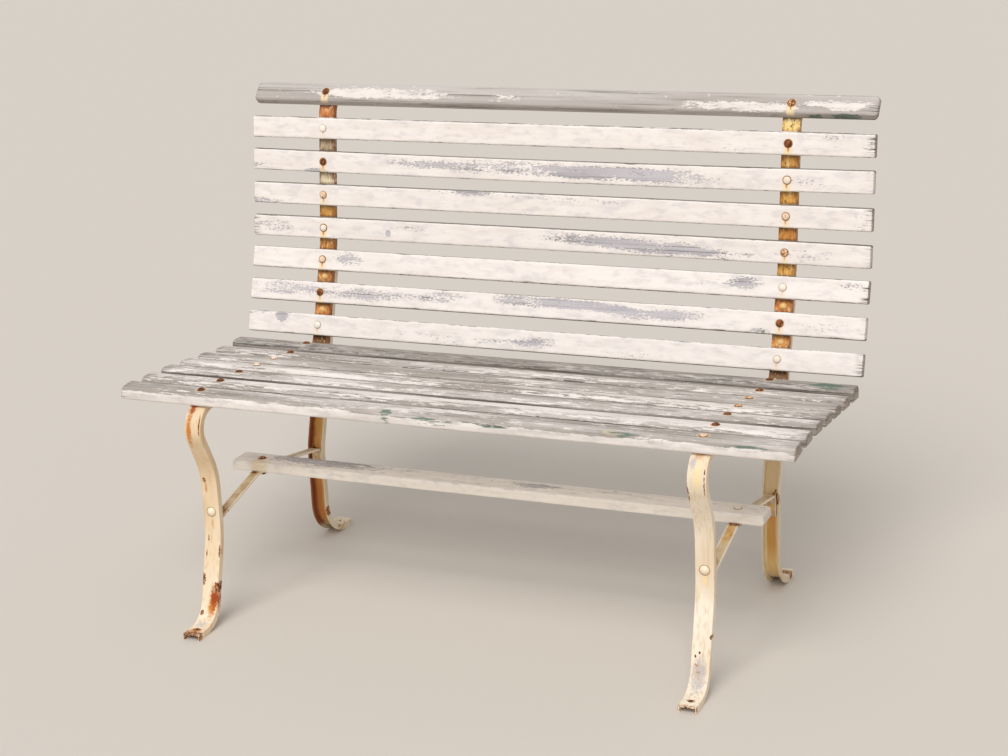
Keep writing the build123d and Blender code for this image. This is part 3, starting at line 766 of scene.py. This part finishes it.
out = g.result("GeometryNodeInputNamedAttribute", {"Name": "out"}, data_type="FLOAT_VECTOR")
reach = g.result("GeometryNodeInputNamedAttribute", {"Name": "reach"}, data_type="FLOAT")
turn = g.result("FunctionNodeAlignRotationToVector", {"Vector": out}, axis="Z")
chance = g.node("FunctionNodeRandomValue", {2: 0.93, 3: 1.0, "Seed": given["Seed"]},
                data_type="FLOAT").outputs[1]
both = g.node("GeometryNodeJoinGeometry")
for body, scale in ((head, g.join(chance, chance, chance)), (rod, g.join(1.0, 1.0, reach))):
    body = g.result("GeometryNodeStoreNamedAttribute", {"Geometry": body, "Name": "rise", "Value": z},
                    data_type="FLOAT", domain="POINT")
    bolts = g.result("GeometryNodeInstanceOnPoints", {"Points": given["Geometry"], "Instance": body,
                                                      "Rotation": turn, "Scale": scale})
    g.tree.links.new(bolts, both.inputs[0])
real = g.result("GeometryNodeRealizeInstances", {"Geometry": both.outputs[0]})
dents = g.times(g.noise(position, (320, 320, 320), 2.0), -0.0004)
offset = g.vector("MULTIPLY", g.result("GeometryNodeInputNormal"), g.join(dents, dents, dents))
real = g.result("GeometryNodeSetPosition", {"Geometry": real, "Offset": offset})
real = g.result("GeometryNodeSetShadeSmooth", {"Geometry": real, "Shade Smooth": True})
bolt_tree = close_tree(g, real, given["Material"])
print("bolt tree ready")

# %% [markdown]
# ## Paint and rust on iron
# Iron rusts from its edges and wherever two parts trap water. The rust pushes the paint off in small hard
# flakes and then runs down as an ochre wash. So the finish has three layers: rust in three browns, the
# wash, and the cream paint, which has gone tan in long streaks where water ran. All of it follows Object
# coordinates, since the bars keep the CAD mesh and have no marks of their own.

# %% Rust under paint
rust_browns = (shade(84, 52, 32), shade(144, 82, 42), shade(204, 128, 62))
dull_gloss = 0.25  # chalky paint and rust reflect less than the shader's usual 0.5


def rust_colour(g, where, light):
    """Dark scale, red-brown and orange by fine noise; light moves the balance to orange."""
    grit = g.noise(where, (240, 240, 160), 5.0, 0.65)
    level = g.plus(grit, light)
    deep = blend(g, g.ramp(level, 0.42, 0.56), rust_browns[0], rust_browns[1])
    return blend(g, g.ramp(level, 0.54, 0.72), deep, rust_browns[2]), grit


def old_cream(g, where, pair, tan):
    """Cream that varies between two shades, with tan streaks down the bar."""
    paint = blend(g, g.ramp(g.noise(where, (14, 14, 9), 3.0), 0.35, 0.65), *pair)
    streaks = g.noise(where, (190, 190, 10), 4.0, 0.6)
    return blend(g, g.ramp(streaks, 0.48, 0.68, 0.0, 0.75), paint, tan), streaks


def iron_layers(g, shader, where, exposed, paint, wash_strength, light, fineness=1.0):
    """Paint over an ochre wash over rust, where exposed goes from 0, all paint, to 1, all rust. The colour is
    also returned, for a finish that blends it with another."""
    rust, grit = rust_colour(g, where, light)
    cloud = g.noise(where, (150 * fineness, 150 * fineness, 85 * fineness), 6.0, 0.66)
    push = g.plus(cloud, g.swing(exposed, 0.55))
    rusty = g.ramp(push, 0.53, 0.56)
    halo = g.ramp(push, 0.38, 0.54)
    paint = blend(g, g.times(halo, wash_strength), paint, shade(214, 160, 92))
    colour = blend(g, rusty, paint, rust)
    g.feed(shader.inputs["Base Color"], colour)
    g.feed(shader.inputs["Roughness"], g.ramp(rusty, 0.0, 1.0, 0.42, 0.85))
    g.feed(shader.inputs["Specular IOR Level"], dull_gloss)
    height = g.plus(g.times(grit, g.ramp(rusty, 0.0, 1.0, 0.15, 0.7)), g.times(rusty, -0.5))
    add_relief(g, shader, height, 0.0005, 0.5)
    return colour


print("rust and cream ready")

# %% [markdown]
# Rules alone make every leg look alike. What tells them apart are accidents, and these are soft
# ellipsoids round a place on the iron. "Knocks" have lost their paint, and "washes" are stains that ran
# down over it. Noise tears both up, so that none of them ends in a smooth round rim.

# %% Knocks and washes


def near(g, where, centre, reach):
    """1 inside a soft ellipsoid round a place on the object, 0 outside."""
    away = g.vector("DIVIDE", g.vector("SUBTRACT", where, centre), reach)
    return g.ramp(g.vector("LENGTH", away), 0.15, 1.2, 1.0, 0.0)


def add_knocks(g, where, exposed, knocks):
    """Raises "exposed" in each knock, given as (centre, reach, strength)."""
    torn = g.ramp(g.noise(where, (420, 420, 240), 4.0, 0.65), 0.36, 0.60, 0.15, 1.5)
    for centre, reach, strength in knocks.values():
        exposed = g.plus(exposed, g.times(near(g, where, centre, reach), g.times(torn, 1.35 * strength)))
    return exposed


def add_washes(g, where, paint, streaks, washes):
    """Stains the paint in each wash, given as (centre, reach, strength, colour), in streaks and specks."""
    specks = g.noise(where, (420, 420, 190), 5.0, 0.75)
    uneven = g.plus(g.swing(streaks, 1.1), g.swing(specks, 1.6))
    for centre, reach, strength, colour in washes.values():
        inside = near(g, where, centre, reach)
        mask = g.ramp(g.plus(inside, uneven), 0.25, 1.05, 0.0, strength)
        paint = blend(g, g.times(mask, g.ramp(inside, 0.0, 0.3)), paint, colour)
    return paint


def on_iron(g):
    """Where a point is on the object, its x, y and z, and 1 on the right-hand side of the bench."""
    where = g.node("ShaderNodeTexCoord").outputs["Object"]
    x, y, z = g.split(where)
    return where, x, y, z, g.maths("GREATER_THAN", x, 0.0)


print("knocks and washes ready")

# %% [markdown]
# A bolt's head is the iron's layers again on a small scale. Water stays round its rim, so rust starts
# there, and a head that has lost most of its paint is also darker in what is left of it.

# %% The bolts' finish
bolt_finish, g, shader = new_finish("bolt_iron")
coat, rise = [g.node("ShaderNodeAttribute", attribute_name=label).outputs["Fac"]
              for label in ("coat", "rise")]
at_rim = g.ramp(rise, 0.0003, 0.0013, 0.6, 0.0)
exposed = g.plus(g.minus(1.0, coat), at_rim)
bolt_cream = blend(g, coat, shade(222, 170, 108), shade(242, 232, 218))
iron_layers(g, shader, on_iron(g)[0], exposed, bolt_cream, 0.7, -0.02, 2.6)
print("bolt finish ready")

# %% [markdown]
# ## Set the bolts
# A bolt stands where its board's middle line crosses the frame's middle plane, so its place comes from
# the board's own matrix. How far its shank reaches is read off the CAD bolt at the same place. The paint
# left on each one is written down bolt by bolt, because they differ: some were painted over, and some are
# bare and brown.

# %% Make the bolts
coats = {
    "back_rail_top": (0.15, 0.35), "back_slat_2": (1.0, 0.05), "back_slat_3": (0.0, 0.75),
    "back_slat_4": (0.55, 0.65), "back_slat_5": (0.85, 0.5), "back_slat_6": (0.6, 0.9),
    "back_slat_7": (0.05, 0.05), "back_slat_8": (1.0, 0.85), "seat_slat_front": (0.1, 0.55),
    "seat_slat_4": (0.75, 0.5), "seat_slat_5": (0.8, 0.5), "stretcher": (0.3, 0.85),
}
usual_coats = (0.1, 0.15)
just_past_head = 0.008


def bolt_points(node, boards):
    """Points where a node's bolts stand, with their direction, reach and coat."""
    metal = points_of(cad[node].data)
    spots, outs, reaches, paint_left = [], [], [], []
    for name in boards:
        place, sizes = places[name]
        out = np.array(place.col[2][:3])
        for side, coat in zip((-1, 1), coats.get(name, usual_coats)):
            spot = np.array(place @ Vector((side * bar_x, 0, sizes[2])))
            away = metal - spot
            depth = away @ out
            beside = np.linalg.norm(away - np.outer(depth, out), axis=1)
            reaches.append(-depth[beside < just_past_head].min())
            spots.append(spot)
            outs.append(out)
            paint_left.append(coat)
    mesh = bpy.data.meshes.new(node)
    mesh.from_pydata([tuple(spot) for spot in spots], [], [])
    mesh.attributes.new("out", "FLOAT_VECTOR", "POINT").data.foreach_set("vector", np.ravel(outs))
    mesh.attributes.new("reach", "FLOAT", "POINT").data.foreach_set("value", reaches)
    mesh.attributes.new("coat", "FLOAT", "POINT").data.foreach_set("value", paint_left)
    return mesh, reaches


for group, node in (("seat", "seat_bolts"), ("back", "back_bolts"), ("stretcher", "stretcher_bolts")):
    boards = [name for name in places if name.startswith(group)]
    points, reaches = bolt_points(node, boards)
    mesh = run_tree(bolt_tree, "worn_" + node, {"Material": bolt_finish, "Seed": len(boards)}, points)
    piece = in_scene("worn_" + node, mesh)
    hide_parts(node)
    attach(piece, "root")
    shanks = sorted({round(1000 * reach, 1) for reach in reaches})
    print(node, "bolts:", len(reaches), "shanks in mm:", shanks)

# %% [markdown]
# ## The painted bars
# The bars were cream, and the front legs still are. Higher up, each gap between two back boards shows a
# short window of bar that has rusted its own way, so a colour ramp follows the height and gives every
# window its tint, with painted shadow under the board above and dark rust at the board below. Left and
# right bars aged differently, and the sign of the object's own x coordinate tells them apart.

# %% Tints by height


def height_ramp(g, height, windows):
    """A tint for each window of bar, from (middle height, colour) pairs in metres, darker at both ends:
    painted shadow under the board above and dark rust at the board below.
    """
    lowest, highest = windows[0][0] - 0.02, windows[-1][0] + 0.02
    stops = []
    for middle, colour in windows:
        # both ends darker: painted shadow under the board above, dark rust at the board below
        shadow_and_rust = tuple(0.55 * value for value in colour)
        stops += [(middle - 0.0115, shadow_and_rust), (middle - 0.0065, colour),
                  (middle + 0.0045, colour), (middle + 0.0115, shadow_and_rust)]
    share = g.result("ShaderNodeMapRange", {"Value": height, "From Min": lowest, "From Max": highest})
    ramp = g.node("ShaderNodeValToRGB", {"Fac": share})
    keys = ramp.color_ramp.elements
    while len(keys) < len(stops):
        keys.new(0.5)
    for key, (at, colour) in zip(keys, stops):
        key.position = (at - lowest) / (highest - lowest)
    for key, (at, colour) in zip(keys, stops):
        key.color = shade(*colour)
    return ramp.outputs[0]


back_tints = {
    "left": [
        (0.455, (214, 142, 76)), (0.516, (206, 140, 80)), (0.577, (204, 138, 72)), (0.639, (218, 162, 84)),
        (0.702, (238, 222, 190)), (0.765, (192, 174, 144)), (0.826, (202, 130, 80))],
    "right": [
        (0.455, (222, 154, 76)), (0.516, (204, 128, 62)), (0.577, (230, 174, 88)), (0.639, (216, 148, 72)),
        (0.702, (230, 170, 82)), (0.765, (216, 160, 80)), (0.826, (242, 208, 134))],
}
print("tints for", len(back_tints["left"]), "windows on each side")

# %% [markdown]
# The accidents on the two bars are named after their places, from the top down: the joint, where the bar
# carries the front board, the knee below it, the shin, the strap's rivet, the heel, where the leg bends
# forward, and the toe with its screw hole. Each is a centre in metres, how far it reaches along x, y and
# z, and how strong it is.

# %% Accidents on the side bars
stains = {"red": shade(160, 70, 20), "orange": shade(196, 118, 38), "ochre": shade(206, 152, 82),
          "yellow": shade(244, 214, 158), "grey": shade(182, 176, 176)}
bar_knocks = {
    "left joint": ((-0.463, -0.240, 0.409), (0.011, 0.03, 0.005), 0.9),
    "left knee crack": ((-0.4437, -0.266, 0.377), (0.0017, 0.03, 0.022), 1.15),
    "left shin chip": ((-0.4640, -0.236, 0.264), (0.0040, 0.02, 0.007), 0.9),
    "left streak": ((-0.4635, -0.239, 0.155), (0.0016, 0.02, 0.010), 0.9),
    "left low streak": ((-0.4665, -0.244, 0.128), (0.0016, 0.02, 0.008), 0.9),
    "left inner streak": ((-0.4415, -0.243, 0.134), (0.0018, 0.02, 0.013), 0.9),
    "left heel edge": ((-0.4695, -0.256, 0.084), (0.0045, 0.02, 0.014), 0.85),
    "left foot chip": ((-0.4425, -0.256, 0.071), (0.0070, 0.03, 0.011), 1.15),
    "left heel spot": ((-0.4670, -0.277, 0.027), (0.0045, 0.02, 0.005), 1.0),
    "left hole": ((-0.456, -0.3158, 0.012), (0.010, 0.008, 0.010), 0.75),
    "left toe": ((-0.456, -0.332, 0.007), (0.03, 0.011, 0.014), 0.95),
    "right knee line": ((0.4685, -0.270, 0.365), (0.0016, 0.04, 0.028), 0.85),
    "right knee edge": ((0.4405, -0.268, 0.345), (0.0030, 0.03, 0.020), 0.95),
    "right speck": ((0.4535, -0.260, 0.071), (0.0022, 0.02, 0.0026), 0.95),
    "right low speck": ((0.4470, -0.262, 0.065), (0.0018, 0.02, 0.0030), 0.95),
    "right edge spot": ((0.4705, -0.253, 0.097), (0.0025, 0.02, 0.005), 1.0),
    "right foot specks": ((0.453, -0.272, 0.038), (0.020, 0.05, 0.032), 0.20),
    "right hole": ((0.456, -0.3158, 0.012), (0.009, 0.007, 0.010), 0.85),
    "right toe": ((0.456, -0.334, 0.007), (0.03, 0.008, 0.014), 0.42),
}
bar_washes = {
    "left knee": ((-0.4640, -0.262, 0.368), (0.008, 0.05, 0.052), 0.95, stains["orange"]),
    "left joint": ((-0.4630, -0.245, 0.401), (0.010, 0.04, 0.016), 0.95, stains["red"]),
    "left shin": ((-0.4620, -0.236, 0.249), (0.0040, 0.02, 0.016), 0.85, stains["orange"]),
    "left rivet": ((-0.4550, -0.238, 0.181), (0.0045, 0.02, 0.019), 0.75, stains["ochre"]),
    "left foot orange": ((-0.4490, -0.270, 0.042), (0.0130, 0.04, 0.034), 1.2, stains["orange"]),
    "left foot red": ((-0.4465, -0.262, 0.051), (0.0110, 0.03, 0.026), 1.5, stains["red"]),
    "left foot bare": ((-0.4570, -0.298, 0.014), (0.018, 0.016, 0.010), 0.6, stains["grey"]),
    "left toe": ((-0.4560, -0.320, 0.012), (0.018, 0.014, 0.010), 0.85, stains["orange"]),
    "right joint": ((0.4550, -0.246, 0.406), (0.012, 0.03, 0.012), 0.6, stains["orange"]),
    "right knee grey": ((0.4475, -0.258, 0.393), (0.008, 0.03, 0.014), 0.85, stains["grey"]),
    "right knee yellow": ((0.4570, -0.267, 0.376), (0.008, 0.04, 0.038), 0.8, stains["yellow"]),
    "right rivet": ((0.4560, -0.238, 0.186), (0.008, 0.02, 0.016), 0.7, stains["yellow"]),
    "right foot": ((0.4550, -0.272, 0.036), (0.020, 0.06, 0.044), 0.9, stains["grey"]),
}
print(len(bar_knocks), "knocks and", len(bar_washes), "washes on the side bars")

# %% [markdown]
# The bar's finish is two finishes in one material, because the front leg and the back upright are one
# bent bar. The front is old cream with accidents, and a dark ring round the big rivet where its head
# traps water. Behind the seat the tints take over, broken up by pale runs and brown spots.

# %% The side bars
bar_edge = (0.0135, 0.0158)  # a bar reaches 16 mm to each side of its middle line
bar_finish, g, shader = new_finish("bar_paint")
where, x, y, z, on_right = on_iron(g)
beside = g.minus(g.unsigned(x), bar_x)
across_bar = g.unsigned(beside)

left_paint, streaks = old_cream(
    g, where, (shade(240, 221, 194), shade(229, 205, 170)), shade(214, 184, 140))
right_paint, _ = old_cream(
    g, where, (shade(241, 229, 210), shade(231, 212, 186)), shade(218, 194, 158))
# above 0.17 m both legs' paint goes darker tan; on the right leg, at half strength, it is painted shade under
# the knee
tan_and_knee_shade = g.ramp(z, 0.17, 0.28, 0.0, 0.42)
left_paint = blend(g, tan_and_knee_shade, left_paint, shade(206, 172, 122))
right_paint = blend(g, g.times(tan_and_knee_shade, 0.5), right_paint, shade(206, 176, 132))
paint = add_washes(g, where, blend(g, on_right, left_paint, right_paint), streaks, bar_washes)
rivet_z = float(points_of(cad["brace_rivets_front"].data)[:, 2].mean())
rivet_rim = 0.0086  # metres from the rivet's middle
away = g.vector("LENGTH", g.join(beside, 0.0, g.minus(z, rivet_z)))
ring = g.ramp(g.unsigned(g.minus(away, rivet_rim)), 0.0004, 0.0014, 0.85, 0.0)
paint = blend(g, ring, paint, shade(170, 128, 76))

corner = g.ramp(across_bar, *bar_edge)
exposed = add_knocks(g, where, g.plus(0.06, g.times(corner, 0.12)), bar_knocks)
behind = g.ramp(y, 0.10, 0.16)
exposed = g.plus(exposed, g.times(behind, 0.25))
front_colour = iron_layers(g, shader, where, exposed, paint, 0.6, 0.0)

tint = blend(g, on_right, height_ramp(g, z, back_tints["left"]), height_ramp(g, z, back_tints["right"]))
spots = g.noise(where, (200, 200, 130), 5.0, 0.65)
runs = g.noise(where, (280, 280, 28), 4.0, 0.6)
upright = blend(g, g.ramp(runs, 0.53, 0.66, 0.0, 0.7), tint, shade(240, 214, 162))
upright = blend(g, g.ramp(runs, 0.47, 0.36, 0.0, 0.6), upright, rust_browns[1])
upright = blend(g, g.ramp(spots, 0.57, 0.65, 0.0, 0.8), upright, rust_browns[0])
flank = g.times(g.ramp(across_bar, 0.0085, 0.0150, 0.0, 0.8), g.ramp(spots, 0.36, 0.56))
upright = blend(g, flank, upright, rust_browns[1])
g.feed(shader.inputs["Base Color"], blend(g, behind, front_colour, upright))
print("bar finish ready, rivets at z = %.4f" % rivet_z)

# %% [markdown]
# ## Rear legs
# The rear legs turn their hollow side to the front, and rust water has dyed it golden, deepest on the
# left leg under the stretcher. The hollow could be a material of its own, but it is one piece of metal,
# so a mask finds it: the faces that look forwards between the two flanges, and the flanges' inner faces.

# %% The rear legs
rear_finish, g, shader = new_finish("rear_leg_paint")
where, x, _, z, on_right = on_iron(g)
beside = g.minus(x, g.ramp(on_right, 0.0, 1.0, -bar_x, bar_x))
across_bar = g.unsigned(beside)
paint, streaks = old_cream(g, where, (shade(234, 222, 198), shade(224, 206, 174)), shade(212, 184, 140))

# the stain inside, whose bands wander along the leg with the streaks
shifted = g.plus(beside, g.swing(streaks, 0.016))
golden = blend(g, g.ramp(z, 0.10, 0.155), shade(188, 108, 20), shade(206, 146, 56))
golden = blend(g, g.ramp(z, 0.055, 0.03), golden, shade(192, 134, 44))
deep = blend(g, g.ramp(shifted, -0.012, -0.003), shade(146, 68, 12), golden)
left_side = blend(g, g.ramp(shifted, 0.002, 0.013), deep, shade(224, 192, 132))
amber = blend(g, g.ramp(z, 0.15, 0.20), shade(208, 148, 66), shade(226, 200, 154))
amber = blend(g, g.ramp(z, 0.10, 0.05), amber, shade(222, 184, 118))
right_side = blend(g, g.ramp(g.unsigned(shifted), 0.005, 0.012), amber, shade(236, 214, 172))

# the stain stays between the flanges, but on the left leg it also runs over the left one's edge
hollow = g.ramp(g.larger(beside, g.times(beside, -1.0, on_right)), 0.0134, 0.0128)
_, facing, _ = g.split(g.node("ShaderNodeNewGeometry").outputs["Normal"])
forward = g.larger(g.ramp(g.times(facing, -1.0), 0.1, 0.4), g.ramp(across_bar, 0.0134, 0.0131))
inner = g.times(hollow, forward, g.times(g.ramp(z, 0.012, 0.03), 0.92))
paint = blend(g, inner, paint, blend(g, on_right, left_side, right_side))

exposed = g.plus(0.06, g.times(g.ramp(across_bar, *bar_edge), 0.10))
exposed = add_knocks(g, where, exposed, {
    "left strap": ((-0.4625, 0.159, 0.178), (0.012, 0.03, 0.022), 0.85),
    "left edge chip": ((-0.4405, 0.163, 0.062), (0.0030, 0.02, 0.012), 1.1),
    "left toe": ((-0.450, 0.215, 0.012), (0.03, 0.05, 0.014), 0.22),
    "right strap": ((0.4635, 0.155, 0.184), (0.010, 0.03, 0.018), 0.95),
    "right toe": ((0.460, 0.236, 0.010), (0.03, 0.012, 0.016), 0.75)})
iron_layers(g, shader, where, exposed, paint, 0.6, 0.04)
print("rear leg finish ready")

# %% [markdown]
# ## Straps, rivets and nuts
# The straps are worn to tan on the flat and keep their cream along both edges, and the right one has gone
# golden in front of the board that lies on it. They could share the bars' finish, but the bars' streaks
# run down, and a strap lies almost level, so it gets its own mottle in place of them.

# %% The straps
strap_finish, g, shader = new_finish("strap_paint")
where, x, y, _, on_right = on_iron(g)
beside = g.unsigned(g.minus(g.unsigned(x), bar_x))
mottle = g.noise(where, (90, 45, 90), 5.0, 0.6)
tan = blend(g, g.ramp(mottle, 0.38, 0.62), shade(186, 158, 118), shade(216, 194, 156))
before_board = -0.085  # y of the strap's stretch just in front of the stretcher
near_board = g.ramp(g.unsigned(g.minus(y, before_board)), 0.02, 0.06, 0.9, 0.0)
golden = blend(g, g.ramp(mottle, 0.35, 0.62), shade(198, 134, 58), shade(222, 184, 122))
face = blend(g, g.times(near_board, on_right), tan, golden)
edge = g.ramp(g.plus(beside, g.swing(mottle, 0.004)), 0.0068, 0.0078)
paint = blend(g, edge, face, shade(238, 222, 200))
exposed = add_knocks(g, where, 0.16, {
    "left end": ((-0.456, -0.205, 0.19), (0.02, 0.03, 0.02), 0.3),
    "right under the stretcher": ((0.456, -0.073, 0.22), (0.02, 0.008, 0.02), 0.7),
    "left under the stretcher": ((-0.460, -0.074, 0.22), (0.01, 0.008, 0.02), 0.8)})
iron_layers(g, shader, where, exposed, paint, 0.6, 0.0)
print("strap finish ready")

# %% [markdown]
# The rivets were painted with the bars and only yellow towards the back of the bench. The nuts and
# washers, out of sight, are nearly all rust. Both are the iron's layers in other tones, so each of them
# only names its paint and how much of it is gone.

# %% Rivets, nuts and washers
rivet_finish, g, shader = new_finish("rivet_iron")
where, _, y, _, _ = on_iron(g)
on_back = g.ramp(y, 0.0, 0.05)
paint, _ = old_cream(g, where, (shade(246, 236, 220), shade(238, 224, 200)), shade(228, 206, 170))
paint = blend(g, on_back, paint, shade(234, 192, 128))
iron_layers(g, shader, where, g.plus(0.1, g.times(on_back, 0.2)), paint, 0.7, 0.0, 1.6)

nut_finish, g, shader = new_finish("nut_iron")
where = on_iron(g)[0]
paint, _ = old_cream(g, where, (shade(214, 200, 178), shade(190, 176, 160)), shade(180, 150, 110))
iron_layers(g, shader, where, 0.85, paint, 0.6, -0.03)
print("rivet and nut finishes ready")

# %% [markdown]
# The iron keeps its CAD meshes, so each of them only gets the finish that its slot names. The boards and
# bolts that were made again hide theirs, and those are passed over.

# %% Refinish the CAD pieces that are still shown
finishes.update({"bar_paint": bar_finish, "rear_leg_paint": rear_finish, "strap_paint": strap_finish,
                 "rivet_iron": rivet_finish, "nut_iron": nut_finish, "bolt_iron": bolt_finish})
carried_over = [name for name in cad if not cad[name].hide_render]
for name in carried_over:
    piece = cad[name]
    if not piece.material_slots:
        piece.data.materials.append(None)
    for slot in piece.material_slots:
        slot.material = finishes[slots[name]]
print("CAD pieces refinished:", sorted(carried_over))

# %% [markdown]
# ## Floor and light
# The bench stands in a plain pale room so that nothing competes with it. One very wide lamp, high up and
# in front, gives soft shadows under the boards and lights the whole floor evenly, and the pale world
# fills the shadows. Several small lamps could do the same, but each would leave its own edge in the
# shadow.

# %% Floor and light
floor_reach = 30.0
corners = [(x * floor_reach, y * floor_reach, 0) for x, y in ((-1, -1), (1, -1), (1, 1), (-1, 1))]
floor_mesh = bpy.data.meshes.new("floor")
floor_mesh.from_pydata(corners, [], [(0, 1, 2, 3)])
floor = in_scene("floor", floor_mesh)
floor_finish, g, shader = new_finish("pale_floor")
g.feed(shader.inputs["Base Color"], shade(206, 198, 188))
g.feed(shader.inputs["Roughness"], 0.9)
floor_mesh.materials.append(floor_finish)
floor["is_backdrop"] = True

wide_lamp = bpy.data.lights.new("wide_overhead", "SUN")
wide_lamp.energy, wide_lamp.angle = 2.2, math.radians(38)
from_lamp = Vector((0.04, -0.64, 0.73))
stand = in_scene("wide_overhead", wide_lamp)
stand.rotation_euler = from_lamp.to_track_quat("Z", "Y").to_euler()
stand.location = 4 * from_lamp

world = bpy.data.worlds.new("soft_room")
bpy.context.scene.world = world
world.use_nodes = True
background = world.node_tree.nodes["Background"]
background.inputs["Color"].default_value = (1.0, 1.0, 1.0, 1.0)
background.inputs["Strength"].default_value = 0.58
bpy.context.scene.view_settings.view_transform = "Standard"
print("lamp %.2f, world %.2f" % (wide_lamp.energy, background.inputs["Strength"].default_value))

# %% [markdown]
# ## Camera
# A camera can be aimed at a point, but then it can't lean. This one is placed by its own axes: it stands
# in front of the bench and to its right, 1.45 m up, looks down by seventeen degrees, and leans a little
# to one side. Its lens is written as a focal length in pixels of a picture 1008 pixels wide.

# %% Camera
focal_pixels, image_width, sensor = 1987.8, 1008, 36.0
yaw, pitch, roll = 0.41045, 0.29932, -0.04452
camera_place = Vector((1.34905, -3.05601, 1.44891))
ahead = Vector((-math.sin(yaw) * math.cos(pitch), math.cos(yaw) * math.cos(pitch), -math.sin(pitch)))
level = Vector((math.cos(yaw), math.sin(yaw), 0))
above = level.cross(ahead)
right = level * math.cos(roll) + above * math.sin(roll)
up = above * math.cos(roll) - level * math.sin(roll)
lens = bpy.data.cameras.new("camera")
lens.sensor_width, lens.lens = sensor, focal_pixels * sensor / image_width
camera = in_scene("camera", lens)
axes = Matrix((right, up, -ahead)).transposed().to_4x4()
camera.matrix_world = Matrix.Translation(camera_place) @ axes
bpy.context.scene.camera = camera
print("camera lens %.1f mm" % lens.lens)

# %% [markdown]
# ## Check the size
# Looks must not change the bench's size, so the box of the finished scene is compared with the box of
# the CAD model, and how much it grew is printed.

# %% Sizes, then the end
bpy.context.view_layer.update()
dressed_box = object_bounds()
growth = [[round(1000 * (b - a), 2) for a, b in zip(old, new)] for old, new in zip(cad_box, dressed_box)]
print("grown by, in mm:", growth)
